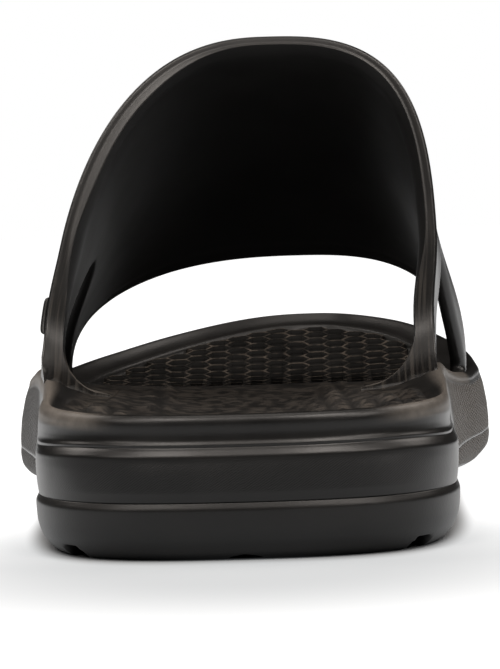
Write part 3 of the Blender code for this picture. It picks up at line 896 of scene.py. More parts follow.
@dataclass
class Outsole:
    """Ground piece with a rounded wall, lug grooves round its edge and fine ribs under heel and ball."""

    outline: Outline
    gap: float = 0.06
    front_lip: float = 0.15
    lip_fade: Pair = (60.0, 110.0)
    groove_wide: float = 5.5
    groove_deep: float = 2.6
    groove_long: float = 17.0
    groove_soft: float = 1.1
    heel_groove: int = 0
    heel_half: float = 3.8
    heel_long: float = 9.0
    heel_soft: float = 2.0
    heel_deep: float = 1.1
    rim_grooves: tuple[int, ...] = (5, 9, 13, 17, 21, 25, 29, 33, 39, 43, 47, 51, 55, 59, 63, 67)
    groove_steps: int = 36
    cross_grooves: tuple[float, ...] = (28.0, 52.0, 178.0, 196.0, 214.0)
    cross_wide: float = 3.4
    cross_margin: float = 22.0
    rib_mm: float = 7.0
    rib_deep: float = 0.55
    rib_sway: float = 1.6
    rib_sway_mm: float = 5.0
    rib_step: Pair = (0.1, 0.8)
    rib_fade: float = 0.2
    heel_pad: Band = (14.0, 70.0, 8.0)
    ball_pad: Band = (150.0, 246.0, 10.0)
    weave_rows: Band = (0.30, 0.95, 0.1)
    soil: Pair = (0.08, 0.26)
    fill_steps: int = 40
    wall_steps: int = 44
    wall_crowd: float = 1.5
    over: tuple[float, ...] = (0.6, 0.0)
    wall: Table = Table(
        ("share", "under", "lip"),
        (
            (0.0, 6.6, 0.0), (0.05, 4.9, 0.0), (0.18, 2.7, 0.0), (0.36, 1.1, 0.0), (0.6, 0.2, 0.0),
            (0.86, 0.0, 0.0), (0.885, 0.0, 0.03), (0.91, 0.0, 0.13), (0.94, 0.0, 0.30),
            (0.97, 0.0, 0.48), (1.0, 0.0, 0.66),
        ),
    )

    def across_groove(self, index: int, x: Array, y: Array) -> tuple[Array, Array]:
        """Plan places seen from one point of the outline.

        Args:
            index: Number of the point on the coarse outline.
            x: Places across.
            y: Places along.

        Returns:
            Distance inward along the groove, and distance across it.
        """
        coarse = Outline(self.groove_steps)
        place, inward = coarse.points[index], coarse.inward[index]
        along = (x - place[0]) * inward[0] + (y - place[1]) * inward[1]
        return along, (y - place[1]) * inward[0] - (x - place[0]) * inward[1]

    def grooves(self, x: Array, y: Array) -> Array:
        """Depth of the grooves between the lugs at plan places: soft-edged boxes, and a lens behind the heel.

        Args:
            x: Places across.
            y: Places along.

        Returns:
            Depth in millimetres.
        """
        deep = np.zeros_like(x)
        for index in self.rim_grooves:
            along, across = self.across_groove(index, x, y)
            open_end = band(along, -self.groove_long, self.groove_long, self.groove_soft)
            deep = np.maximum(deep, open_end * band(across, *self.halves(self.groove_wide), self.groove_soft))
        for station in self.cross_grooves:
            left = -SOLE.at("half_lateral", np.array(station)) + self.cross_margin
            right = SOLE.at("half_medial", np.array(station)) - self.cross_margin
            wide = band(x, left, right, self.groove_soft)
            deep = np.maximum(deep, wide * band(y - station, *self.halves(self.cross_wide), self.groove_soft))
        along, across = self.across_groove(self.heel_groove, x, y)
        lens = np.clip(1 - (across / self.heel_half) ** 2, 0, 1)
        lens = lens * band(along, -self.heel_long, self.heel_long, self.heel_soft)
        return np.maximum(deep * self.groove_deep, lens * self.heel_deep)

    def halves(self, wide: float) -> tuple[float, float]:
        """Both edges of a groove about its middle, less half its soft edge."""
        return -wide / 2 + self.groove_soft / 2, wide / 2 - self.groove_soft / 2

    def ribs(self, x: Array, y: Array) -> Array:
        """Fine tread: wavy ribs across the heel pad and the ball pad, from a sine with flattened crests.

        Args:
            x: Places across.
            y: Places along.

        Returns:
            Depth in millimetres.
        """
        wave = np.sin(TURN * (y + self.rib_sway * np.sin(x / self.rib_sway_mm)) / self.rib_mm)
        pads = band(y, *self.heel_pad) + band(y, *self.ball_pad)
        return self.rib_deep * ease(wave, *self.rib_step) * pads

    def build(self, finish: FoamFinish) -> bpy.types.Object:
        """Skin from the middle of the underside up the wall and over the top to the middle again.

        Args:
            finish: Finish of the piece.

        Returns:
            The piece.
        """
        o = self.outline
        bottom, top = SOLE.at("bottom", o.along), SOLE.at("joint", o.along) - self.gap / 2
        tuck = SOLE.at("tuck", o.along)
        shares = np.linspace(0, 1, self.wall_steps)
        shares = (shares ** self.wall_crowd + ease(shares, 0.0, 1.0)) / 2
        front = 1 - (1 - self.front_lip) * ease(o.along, *self.lip_fade)
        walls = [o.ring(under * tuck + lip * front, bottom + share * (top - bottom)) for share, under, lip
                 in zip(shares, self.wall.at("under", shares), self.wall.at("lip", shares))]
        inner = np.linspace(0, 1, self.fill_steps, endpoint=False)
        under = o.spread(walls[0], inner, lambda x, y: SOLE.at("bottom", y))
        for ring, share in zip(under, inner):
            ring[:, 2] += self.ribs(ring[:, 0], ring[:, 1]) * ease(1 - share, 0.0, self.rib_fade)
        over = o.spread(walls[-1], self.over, lambda x, y: SOLE.at("joint", y) - self.gap / 2)
        rings = [self.carve(ring) for ring in under + walls] + over
        side = ring_mask(band(shares, *self.weave_rows), len(under), len(over))
        marks = {Mark.WEAVE: side * ease(o.along, *WAIST), Mark.SOIL_AND_HIGHLIGHT: side * wall_soil(o, *self.soil)}
        piece = mesh_of("outsole_skin", [o.patch(rings, marks)])
        return add_piece(piece, "outsole", finish.material())

    def carve(self, ring: Array) -> Array:
        """Ring lifted to the roof of any groove that it lies in.

        Args:
            ring: Points of the ring.

        Returns:
            Points at the higher of their own height and the roof's.
        """
        x, y, z = ring.T
        roof = SOLE.at("bottom", y) + self.grooves(x, y)
        return np.column_stack([x, y, np.maximum(z, roof)])


@dataclass
class Midsole:
    """Midsole shell: stepped heel, drafted wall, rounded rim and the recess for the footbed."""

    outline: Outline
    bed: Footbed
    gap: float = 0.3
    joint_gap: float = 0.06
    step_deep: float = 1.8
    lateral_step_fade: Pair = (46.0, 10.0)
    medial_step_fade: Pair = (76.0, 40.0)
    front_inset: float = 0.15
    inset_fade: Pair = (60.0, 110.0)
    step_fall: float = 0.07
    step_fall_along: Pair = (3.0, 32.0)
    insole_thick: float = 3.0
    wall_steps: int = 72
    round_steps: int = 12
    slope_steps: int = 26
    wall_top: float = 0.87
    slope_ribs: Pair = (0.3, 0.6)
    under: tuple[float, ...] = (0.0, 0.6)
    floor: tuple[float, ...] = (0.75, 0.4, 0.0)
    weave_rows: Band = (0.05, 0.78, 0.04)
    weave_along: Pair = (92.0, 108.0)
    twill_rows: Band = (0.14, 0.44, 0.06)
    twill_along: Pair = (16.0, 6.0)
    dust_rows: Pair = (0.3, 0.8)
    dust_along: Band = (20.0, 110.0, 20.0)
    crest_wall: Pair = (0.78, 0.87)
    crest_slope: Pair = (0.22, 0.0)
    rim_along: Band = (12.0, 160.0, 8.0)
    wall_soil: Pair = (0.08, 0.26)
    rim_soil_and_highlight: Pair = (0.50, 0.38)
    wall: Table = Table(
        ("share", "inset", "draft", "heel_step"),
        (
            (0.0, 0.58, 0.0, 0.0), (0.05, 0.46, 0.0, 0.0), (0.12, 0.30, 0.01, 0.0),
            (0.20, 0.16, 0.04, 0.0), (0.30, 0.04, 0.09, 0.0), (0.38, 0.0, 0.13, 0.0),
            (0.51, 0.0, 0.25, 0.0), (0.53, 0.0, 0.27, 0.02), (0.55, 0.0, 0.29, 0.10),
            (0.57, 0.0, 0.31, 0.21), (0.59, 0.0, 0.33, 0.32), (0.605, 0.0, 0.345, 0.42),
            (0.618, 0.0, 0.36, 0.52), (0.627, 0.0, 0.37, 0.60), (0.634, 0.0, 0.38, 0.62),
            (0.640, 0.0, 0.385, 0.58), (0.646, 0.0, 0.39, 0.52), (0.652, 0.0, 0.40, 0.50),
            (0.660, 0.0, 0.41, 0.52), (0.672, 0.0, 0.425, 0.58), (0.684, 0.0, 0.435, 0.645),
            (0.696, 0.0, 0.45, 0.70), (0.715, 0.0, 0.48, 0.735), (0.75, 0.0, 0.54, 0.745),
            (0.87, 0.0, 0.76, 0.60),
        ),
    )

    def walls(self, shares: Array) -> list[Array]:
        """Rings of the outer wall, each inset by the table's round, draft and heel step.

        Args:
            shares: Shares of the way from the joint to the rim.

        Returns:
            One ring for each share.
        """
        o = self.outline
        foot = SOLE.at("joint", o.along) + self.joint_gap / 2
        step = self.step_deep * np.where(o.lateral, ease(o.along, *self.lateral_step_fade),
                                         ease(o.along, *self.medial_step_fade))
        fall = self.step_fall * ease(o.along, *self.step_fall_along)
        front = 1 - (1 - self.front_inset) * ease(o.along, *self.inset_fade)
        rings = []
        for share, inset, draft in zip(shares, self.wall.at("inset", shares), self.wall.at("draft", shares)):
            stepped = self.wall.at("heel_step", share + fall) * step
            rings.append(o.ring(inset * front + draft * o.draft + stepped, foot + share * (o.rim - foot)))
        return rings

    def top(self, start: Array) -> list[Array]:
        """Rings over the rim: a quarter round up to its crest, then the hollow slope to the footbed's edge.

        Args:
            start: Last ring of the wall.

        Returns:
            Rings of the round and of the slope.
        """
        o = self.outline
        begin = np.einsum("ij,ij->i", start[:, :2] - o.points, o.inward)
        rings = []
        for angle in np.linspace(0, np.pi / 2, self.round_steps)[1:]:
            inset = begin + (o.crest - begin) * (1 - np.cos(angle))
            rings.append(o.ring(inset, start[:, 2] + (o.rim - start[:, 2]) * np.sin(angle)))
        for t in np.linspace(0, 1, self.slope_steps)[1:]:
            ring = o.ring(o.crest + (o.edge - o.crest) * t, o.rim - o.drop * hollow(t))
            ring[:, 2] += self.bed.ribs(ring[:, 0], ring[:, 1]) * ease(t, *self.slope_ribs)
            rings.append(ring)
        return rings

    def marks(self, shares: Array, before: int, after: int) -> dict[Mark, Array]:
        """Masks for the rings and points of the skin.

        Args:
            shares: Shares of the wall's rings.
            before: Number of rings before the wall.
            after: Number of rings after the slope inside the rim.

        Returns:
            One mask for each mark.
        """
        o = self.outline
        slope = np.linspace(0, 1, self.slope_steps)[1:]
        rim = self.round_steps - 1
        above = rim + len(slope) + after
        weave = ring_mask(band(shares, *self.weave_rows), before, above)
        twill = ring_mask(band(shares, *self.twill_rows), before, above)
        dust = ring_mask(ease(slope, *self.dust_rows), before + len(shares) + rim, after)
        crest = np.concatenate([ease(shares, *self.crest_wall), np.ones(rim), ease(slope, *self.crest_slope)])
        # soil on the rim's rounded crest, also a painted highlight along its edge
        rim_soil_and_highlight = band(o.along, *self.rim_along) * np.where(o.lateral, *self.rim_soil_and_highlight)
        return {
            Mark.WEAVE: weave * ease(o.along, *self.weave_along),
            Mark.SOIL_AND_HIGHLIGHT: weave * wall_soil(o, *self.wall_soil) + ring_mask(crest, before, after) * rim_soil_and_highlight,
            Mark.TWILL: twill * ease(o.along, *self.twill_along),
            Mark.DUST_AND_HIGHLIGHT: dust * band(o.along, *self.dust_along),
        }

    def build(self, finish: FoamFinish) -> bpy.types.Object:
        """Skin from the middle of the underside round the wall and rim to the middle of the recess.

        Args:
            finish: Finish of the piece.

        Returns:
            The piece.
        """
        o = self.outline
        shares = np.linspace(0, self.wall_top, self.wall_steps)
        walls = self.walls(shares)
        under = o.spread(walls[0], self.under, lambda x, y: SOLE.at("joint", y) + self.joint_gap / 2)
        deep = self.insole_thick + self.gap
        recess = o.ring(o.edge, o.rim - o.drop - deep)
        floor = [recess] + o.spread(recess, self.floor, lambda x, y: self.bed.height(x, y) - deep)
        rings = under + walls + self.top(walls[-1]) + floor
        piece = mesh_of("midsole_skin", [o.patch(rings, self.marks(shares, len(under), len(floor)))])
        return add_piece(piece, "upper_midsole", finish.material())


@dataclass
class Insole:
    """Footbed piece: bare dusty pad between soft ribs, and a sunk field of honeycomb in front."""

    outline: Outline
    bed: Footbed
    gap: float = 0.04
    thick: float = 3.0
    sink: float = 1.6
    cell_side: float = 3.27
    cell_columns: int = 14
    cell_rows: int = 36
    rows_behind: float = 10.0
    cell_inset: float = 0.4
    wall_half: float = 0.27
    wall_round: float = 0.16
    wall_high: float = 1.2
    foot_rounds: float = 2.2
    foot_high: float = 0.12
    floor_high: float = 0.05
    skirt_deep: float = 0.25
    least_reach: float = 0.2
    least_keep: float = 0.05
    sharp_deg: float = 38.0
    cell_margin: float = 1.4
    tip_margin: float = 0.4
    border_soft: float = 0.5
    back_y: float = 126.0
    back_rise: float = 36.0
    rise_across: Pair = (6.0, 30.0)
    under: tuple[float, ...] = (0.0, 0.4, 0.75)
    edge_share: float = 0.9
    edge_steps: int = 30
    pad_steps: int = 44
    bare_dust: float = 0.5
    dust_along: Pair = (132.0, 118.0)

    def back_line(self, x: Array) -> Array:
        """Y where the honeycomb starts: further forward on the medial side, where the arch rises."""
        return self.back_y + self.back_rise * ease(x, *self.rise_across)

    def field(self, x: Array, y: Array) -> Array:
        """Mask of the honeycomb's field.

        Args:
            x: Places across.
            y: Places along.

        Returns:
            1 inside its border, with a soft edge outside it.
        """
        left, right = self.bed.side_edges(y, self.cell_margin)
        sides = np.minimum(x - left, right - x)
        ends = np.minimum(y - self.back_line(x), self.tip() - y)
        return ease(np.minimum(sides, ends), -self.border_soft, 0.0)

    def tip(self) -> float:
        """Y of the honeycomb's front end."""
        border = self.outline.ring(self.outline.edge + self.cell_margin, 0.0)
        return float(border[:, 1].max()) - self.tip_margin

    def top(self, x: Array, y: Array) -> Array:
        """Top of the base: the bed with its ribs, less the sunk field."""
        return self.bed.height(x, y) + self.bed.ribs(x, y) - self.sink * self.field(x, y)

    def base(self, finish: FoamFinish) -> bpy.types.Object:
        """Closed base from the middle of its underside round its edge to the middle of its top.

        Args:
            finish: Finish of the piece.

        Returns:
            The piece.
        """
        o = self.outline
        high = o.ring(o.edge + self.gap, o.rim - o.drop)
        low = high - np.array([0.0, 0.0, self.thick])
        under = o.spread(low, self.under, lambda x, y: self.bed.height(x, y) - self.thick)
        shares = np.concatenate([np.linspace(1, self.edge_share, self.edge_steps)[1:],
                                 np.linspace(self.edge_share, 0, self.pad_steps)[1:]])
        rings = under + [low, high] + o.spread(high, shares, self.top)
        points = np.stack(rings)
        x, y = points[..., 0], points[..., 1]
        bare = 1 - sum(self.bed.rib_zones(x, y))
        # dust on the bare pad; the lighter colour on the ribs' crests is a painted highlight
        dust = ease(y, *self.dust_along) * (self.bare_dust * bare + self.bed.ribs(x, y) / self.bed.rib_high)
        piece = mesh_of("insole_base", [o.patch(rings, {Mark.DUST_AND_HIGHLIGHT: dust})])
        return add_piece(piece, "insole", finish.material())

    def clamp(self, points: Array, inset: float = 0.0) -> Array:
        """Plan points moved to the nearest place inside the honeycomb's border: along first, then across.

        Args:
            points: Plan points.
            inset: Distance kept from the border.

        Returns:
            Plan points inside the border.
        """
        x, y = points[..., 0], points[..., 1]
        y = np.clip(y, self.back_line(x) + inset, self.tip() - inset)
        left, right = self.bed.side_edges(y, self.cell_margin + inset)
        return np.stack([np.clip(x, left, right), y], -1)

    def centres(self) -> Array:
        """Centres of the cells: columns one and a half sides apart, every second one half a row on.

        Returns:
            Plan points well inside the honeycomb's border.
        """
        pitch_x, pitch_y = 1.5 * self.cell_side, math.sqrt(3) * self.cell_side
        columns = np.arange(-self.cell_columns, self.cell_columns + 1)
        column, row = np.meshgrid(columns, np.arange(self.cell_rows))
        y = self.back_y - self.rows_behind + (row + 0.5 * (column % 2)) * pitch_y
        centres = np.column_stack([column.ravel() * pitch_x, y.ravel()])
        moved = np.linalg.norm(self.clamp(centres, self.cell_side * self.cell_inset) - centres, axis=1)
        return centres[moved < STILL]

    def cells(self, finish: FoamFinish) -> bpy.types.Object:
        """Honeycomb sheet: for each cell, hexagon rings from the middle of its wall down to its floor.

        The rings are the foot of a skirt, the wall's middle line, its inner edge, a rounded step and the
        wall's foot; a floor point closes the cell. Corners outside the honeycomb's border are moved onto it.

        Args:
            finish: Finish of the piece.

        Returns:
            The piece.
        """
        centres = self.centres()
        turn = np.arange(6) * np.pi / 3
        hexagon = np.column_stack([np.cos(turn), np.sin(turn)])
        full = self.clamp(centres[:, None] + self.cell_side * hexagon)
        middle = full.mean(axis=1, keepdims=True)
        away = full - middle
        reach = np.maximum(np.linalg.norm(away, axis=2, keepdims=True), self.least_reach)
        profile = ((0.0, self.wall_high), (self.wall_half, self.wall_high),
                   (self.wall_half + self.wall_round, self.wall_high - self.wall_round),
                   (self.wall_half + self.wall_round * self.foot_rounds, self.foot_high))
        rings = [self.lifted(full, -self.skirt_deep)]
        for inset, lift in profile:
            keep = np.clip(1 - inset / reach / math.cos(np.pi / 6), self.least_keep, 1)
            rings.append(self.lifted(middle + away * keep, lift))
        rings.append(self.lifted(np.broadcast_to(middle, full.shape), self.floor_high))
        return add_piece(self.joined(np.stack(rings, 1)), "insole", finish.material())

    def lifted(self, plan: Array, lift: float) -> Array:
        """Plan points at a lift above the floor of the honeycomb."""
        height = self.bed.height(plan[..., 0], plan[..., 1]) - self.sink + lift
        return np.concatenate([plan, height[..., None]], -1)

    def joined(self, points: Array) -> bpy.types.Object:
        """One mesh from cells of rings, with skirts only where no neighbour shares a cell's side.

        Args:
            points: Points by cell, ring and corner; the first ring is the foot of the skirt.

        Returns:
            The object, with dust on the tops of its walls that is also their painted highlight.
        """
        count, rows, corners = points.shape[:3]
        start = np.arange(count) * rows * corners
        quads = start[:, None, None, None] + grid_quads(rows, corners, True)
        border = points[:, 1, :, :2]
        middle = np.round((border + np.roll(border, -1, axis=1)) / 2, 2).reshape(-1, 2)
        _, which, times = np.unique(middle, axis=0, return_inverse=True, return_counts=True)
        alone = (times[which.ravel()] == 1).reshape(count, corners)
        # dust on the walls' tops, also a painted highlight where light catches them
        tops = np.broadcast_to(np.isin(np.arange(rows), (1, 2))[None, :, None], points.shape[:3])
        faces = np.concatenate([quads[:, 1:].reshape(-1, 4), quads[:, 0][alone]])
        mesh = bpy.data.meshes.new("insole_honeycomb")
        mesh.from_pydata(to_frame(points.reshape(-1, 3)).tolist(), [], faces.tolist())
        set_mark(mesh, Mark.DUST_AND_HIGHLIGHT, tops)
        piece = sealed(mesh)
        mesh.set_sharp_from_angle(angle=math.radians(self.sharp_deg))
        return piece


def along_line(at: Array, places: Array, line: Array) -> Array:
    """Points of a line of points, at places between its own."""
    return np.stack([np.interp(at, places, line[:, axis]) for axis in range(3)], -1)


@dataclass(frozen=True)
class EdgeLine:
    """Outer line of one vamp edge: superellipse quarters from a straight root on each side to the crown."""

    lateral_x: float
    medial_x: float
    crown_x: float
    base_z: float
    crown_z: float
    base_y: float
    crown_y: float
    lateral_wide: float
    lateral_high: float
    medial_wide: float
    medial_high: float
    root_z: float
    lateral_lean: float
    medial_lean: float
    lean_heights: Pair = (58.0, 40.0)
    finer: int = 4

    def points(self, count: int) -> Array:
        """Evenly spaced points from the lateral root over the crown to the medial root.

        Args:
            count: Number of points.

        Returns:
            Points in millimetres.
        """
        turn = np.linspace(0, np.pi, self.finer * count)
        lateral = turn < np.pi / 2
        wide = np.where(lateral, self.lateral_wide, self.medial_wide)
        high = np.where(lateral, self.lateral_high, self.medial_high)
        reach = np.where(lateral, self.lateral_x, self.medial_x) - self.crown_x
        rise = np.sin(turn).clip(0, 1) ** (2 / high)
        z = self.base_z + (self.crown_z - self.base_z) * rise
        lean = np.where(lateral, self.lateral_lean, self.medial_lean) * ease(z, *self.lean_heights)
        x = self.crown_x + reach * np.abs(np.cos(turn)) ** (2 / wide) - lean
        line = np.column_stack([x, self.base_y + (self.crown_y - self.base_y) * rise, z])
        start = line[:1] * [1, 1, 0] + [0, 0, self.root_z]
        end = line[-1:] * [1, 1, 0] + [0, 0, self.root_z]
        line = np.concatenate([start, line, end])
        run = np.concatenate([[0], np.cumsum(np.linalg.norm(np.diff(line, axis=0), axis=1))])
        return along_line(np.linspace(0, run[-1], count), run, line)


@dataclass(frozen=True)
class Window:
    """Rounded triangle cut in a side panel, in shares of the panel."""

    along: float
    up: float
    half_long: float
    half_high: float
    lean: float
    corner: float = 0.28

    def line(self, turn: Array) -> tuple[Array, Array]:
        """Cut by the angle from straight up: a circle with a second harmonic.

        Args:
            turn: Angles in radians.

        Returns:
            Shares along and up the panel.
        """
        side = self.half_long * (np.sin(turn) - self.corner * np.sin(2 * turn))
        up = self.half_high * (np.cos(turn) + self.corner * np.cos(2 * turn))
        return self.along + side + self.lean * up, self.up + up


def fillet(above: Array, radius: Union[Array, float]) -> Array:
    """Spread of a round fillet at a height above its foot."""
    t = np.clip(above / radius, 0, 1)
    return radius * (1 - np.sqrt(1 - (1 - t) ** 2))


@dataclass
class Vamp:
    """Hollow vamp: a wall between two edge lines, with side windows, a faced throat and swept feet."""

    bed: Footbed
    throat: EdgeLine = EdgeLine(
        lateral_x=-42.7, medial_x=41.5, crown_x=5.1, base_z=30.4, crown_z=101.5, base_y=95.0, crown_y=118.0,
        lateral_wide=2.33, lateral_high=2.10, medial_wide=2.85, medial_high=4.77, root_z=21.0,
        lateral_lean=1.0, medial_lean=1.4)
    toe: EdgeLine = EdgeLine(
        lateral_x=-46.3, medial_x=49.8, crown_x=11.2, base_z=25.0, crown_z=51.8, base_y=186.0, crown_y=212.0,
        lateral_wide=2.4, lateral_high=2.4, medial_wide=2.78, medial_high=2.78, root_z=17.0,
        lateral_lean=0.0, medial_lean=0.0)
    lateral_window: Window = Window(along=0.426, up=0.443, half_long=0.26, half_high=0.291, lean=-0.10)
    medial_window: Window = Window(along=0.467, up=0.388, half_long=0.297, half_high=0.345, lean=-0.10)
    panel_share: float = 0.225
    crown_swell: float = 2.5
    lateral_hollow: float = 2.5
    wall: float = 3.6
    throat_bead: float = 1.3
    bead_reach: float = 6.0
    edge_round: float = 2.2
    corner_round: float = 0.8
    face_wide: float = 1.8
    leg_face_wide: float = 4.2
    roll_reach: float = 8.0
    ridge_high: Pair = (0.12, 0.5)
    ridge_wide: Pair = (0.45, 2.1)
    ridge_reach: float = 1.8
    ridge_fade: Pair = (0.10, 0.20)
    ridge_most: float = 0.76
    ridge_slack: float = 0.21
    broad_across: Band = (0.27, 0.36, 0.14)
    toe_line_mm: float = 4.6
    toe_line_wide: float = 0.6
    toe_line_deep: float = 0.35
    lateral_fillet: float = 10.5
    medial_fillet: float = 12.0
    foot_soil: float = 0.35
    soil_heights: Pair = (7.0, 1.5)
    crown_fibre: float = 0.7
    lateral_flare: Pair = (1.5, 9.0)
    flush_inset: float = 0.1
    foot_level: float = 0.95
    toe_leg_fillet: float = 2.5
    leg_share: float = 0.3
    throat_fillet: float = 13.0
    toe_fillet: float = 8.0
    fillet_share: float = 0.16
    samples: int = 900
    mean_length: float = 97.0
    throat_rows_mm: tuple[float, ...] = (0.0, 0.02, 0.08, 0.18, 0.33, 0.55, 0.85, 1.2, 1.6, 2.1, 2.7)
    toe_rows_deg: tuple[float, ...] = (90.0, 68.0, 52.0, 38.0, 25.0, 15.0, 7.0, 0.0)
    window_rows: tuple[float, ...] = (0.0, 0.0015, 0.006, 0.015, 0.03, 0.05, 0.08, 0.12, 0.17)
    border_rows: tuple[float, ...] = (0.17, 0.12, 0.085, 0.055, 0.035, 0.02, 0.009, 0.003, 0.0008, 0.0)
    middle_rows: tuple[float, float, int] = (0.25, 0.77, 7)
    low_rise: tuple[float, float, int] = (0.02, 0.36, 30)
    high_rise: tuple[float, float, int] = (0.39, 0.97, 16)
    along_steps: int = 44
    bridge_steps: int = 96
    flat_rows: tuple[float, ...] = (0.0, 0.35, 0.7)
    climb_rows: tuple[float, ...] = (0.0, 0.12, 0.26, 0.42, 0.6, 0.8, 1.0)

    def __post_init__(self) -> None:
        """Sample both edge lines, and set the grid's shares, close together at the rolled edges."""
        self.places = np.linspace(0, 1, self.samples)
        self.back_line = self.throat.points(self.samples)
        self.front_line = self.toe.points(self.samples)
        near_throat = np.array(self.throat_rows_mm) / self.mean_length
        near_toe = (1 - np.cos(np.radians(self.toe_rows_deg))) * self.edge_round / self.mean_length
        inside = np.linspace(near_throat[-1], 1 - near_toe[0], self.along_steps)[1:-1]
        self.along = np.concatenate([near_throat, inside, 1 - near_toe])
        self.rise = np.concatenate([np.linspace(*self.low_rise), np.linspace(*self.high_rise)])
        self.rings = np.concatenate([self.window_rows, np.linspace(*self.middle_rows),
                                     1 - np.array(self.border_rows)])

    def outer(self, across: Array, along: Array) -> Array:
        """Outer surface before its edges are rolled: the two edge lines blended, with a swell over the crown.

        Args:
            across: Shares from the lateral root to the medial root.
            along: Shares from the throat to the toe edge.

        Returns:
            Points in millimetres.
        """
        across = np.clip(across, 0, 1)
        back, front = (along_line(across, self.places, line) for line in (self.back_line, self.front_line))
        along = np.asarray(along)[..., None]
        gentle = along * along * (3 - 2 * along)
        share = np.concatenate([gentle, along, along], -1)
        turn = np.pi * across
        sideways = np.where(across < 0.5, self.lateral_hollow * np.sin(2 * turn) ** 2, 0.0)
        swell = np.stack([sideways, np.zeros_like(turn), self.crown_swell * np.sin(turn)], -1)
        return back + (front - back) * share + 4 * along * (1 - along) * swell

    def normal(self, across: Array, along: Array) -> Array:
        """Outward direction: cross product of the steps across and along.

        Args:
            across: Shares from the lateral root to the medial root.
            along: Shares from the throat to the toe edge.

        Returns:
            Unit vectors.
        """
        over = self.outer(across + NEAR, along) - self.outer(across - NEAR, along)
        ahead = self.outer(across, along + NEAR) - self.outer(across, along - NEAR)
        facing = np.cross(over, ahead)
        return facing / np.linalg.norm(facing, axis=-1)[..., None]

    def chord(self, across: Array) -> Array:
        """Step from the throat edge to the toe edge."""
        return self.outer(across, np.ones_like(across)) - self.outer(across, np.zeros_like(across))

    def place(self, across: Array, along: Array, depth: Array, ahead: Union[Array, float] = 0.0) -> Array:
        """Points of the wall, swept back at the throat's foot and forward at the toe's on round fillets.

        Args:
            across: Shares from the lateral root to the medial root.
            along: Shares from the throat to the toe edge.
            depth: Depth below the outer surface in millimetres.
            ahead: Distance from the place towards the toe in millimetres.

        Returns:
            Points in millimetres.
        """
        chord = self.chord(across)
        step = chord / np.linalg.norm(chord, axis=-1)[..., None]
        step = step * np.broadcast_to(ahead, across.shape)[..., None]
        point = self.outer(across, along) - self.normal(across, along) * depth[..., None] + step
        above = point[..., 2] - self.bed.ground(point[..., 0], point[..., 1])
        back = fillet(above, self.throat_fillet) * np.clip(1 - along / self.fillet_share, 0, 1)
        front = fillet(above, self.toe_fillet) * np.clip(1 - (1 - along) / self.fillet_share, 0, 1)
        point[..., 1] += front - back
        lateral = across < 0.5
        wall = at_side("half", lateral, point[..., 1]) - at_side("draft", lateral, point[..., 1])
        flush = wall - self.flush_inset
        point[..., 0] = np.clip(point[..., 0], -flush, flush)
        return point

    def behind(self, along: Array) -> Array:
        """Share of the back legs: 1 at the throat edge, falling straight to 0."""
        return np.clip(1 - along / self.leg_share, 0, 1)

    def crown(self, across: Array) -> Array:
        """Share of the throat's ridge: 1 over the crown, 0 down both legs."""
        return ease(np.minimum(across, 1 - across), *self.ridge_fade)

    def ridge(self, across: Array) -> tuple[Array, Array]:
        """Size of the throat's ridge, which is broad on the lateral shoulder.

        Args:
            across: Shares from the lateral root to the medial root.

        Returns:
            Height and width in millimetres.
        """
        broad = band(across, *self.broad_across)
        high, wide = (low + (top - low) * broad for low, top in (self.ridge_high, self.ridge_wide))
        return high * self.crown(across), wide

    def depths(self, across: Array, along: Array, from_window: Array) -> tuple[Array, Array, Array]:
        """Depths of both skins: a faced and ridged throat, round edges elsewhere, and feet that flare inward.

        Args:
            across: Shares from the lateral root to the medial root.
            along: Shares from the throat to the toe edge.
            from_window: Distance in millimetres from the nearest window.

        Returns:
            Depth of the outer skin, depth of the inner skin and how far the inner skin stands back.
        """
        base = self.outer(across, along)
        length = np.linalg.norm(self.chord(across), axis=-1)
        from_throat = along * length
        from_toe = (1 - along) * length
        free = np.clip(np.minimum(from_toe, from_window) / self.edge_round, 0, 1)
        thick = self.wall + self.throat_bead * np.exp(-(from_throat / self.bead_reach) ** 2)
        half = thick / 2 * np.sqrt(1 - (1 - free) ** 2)
        outer = np.maximum(thick / 2 - half, fillet(from_throat, self.corner_round))
        high, wide = self.ridge(across)
        face = self.leg_face_wide + (self.face_wide + wide - self.leg_face_wide) * self.crown(across)
        roll = (thick - face) * np.clip(1 - from_throat / self.roll_reach, 0, 1) ** 2
        line = self.toe_line_deep * np.exp(-((from_toe - self.toe_line_mm) / self.toe_line_wide) ** 2)
        inner = np.minimum(thick / 2 + half, thick - roll) - line
        lateral = across < 0.5
        over_rim = base[..., 2] - at_side("rim", lateral, base[..., 1])
        over_slope = over_rim + self.foot_level * at_side("drop", lateral, base[..., 1])
        behind = self.behind(along)
        foot = np.where(lateral, self.lateral_fillet, self.medial_fillet)
        foot = self.toe_leg_fillet + (foot - self.toe_leg_fillet) * behind
        inner = inner + fillet(over_slope, foot) * free
        flare, reach = self.lateral_flare
        outer = outer - np.where(lateral, flare * fillet(over_rim, reach) / reach, 0.0) * behind * free
        return outer, inner, high * ease(from_throat, self.ridge_reach, 0.0)

    def layers(self, across: Array, along: Array, from_window: Array, closed: bool) -> list[Patch]:
        """Outer and inner grid with surface coordinates in millimetres.

        Args:
            across: Shares from the lateral root to the medial root.
            along: Shares from the throat to the toe edge.
            from_window: Distance in millimetres from the nearest window.
            closed: Whether the grids close round their columns.

        Returns:
            Both grids.
        """
        outer, inner, ridge = self.depths(across, along, from_window)
        surface = np.stack([across * self.mean_length * 2, along * self.mean_length], -1)
        surface = np.concatenate([surface, surface[:, :1]], 1) if closed else surface
        inside = self.place(across, along, inner, -ridge)
        above = inside[..., 2] - self.bed.ground(inside[..., 0], inside[..., 1])
        soil = self.foot_soil * ease(above, *self.soil_heights) * self.behind(along)
        return [Patch(self.place(across, along, outer), surface, closed),
                Patch(inside, surface, closed, {Mark.INSIDE: np.ones_like(along), Mark.SOIL_AND_HIGHLIGHT: soil})]

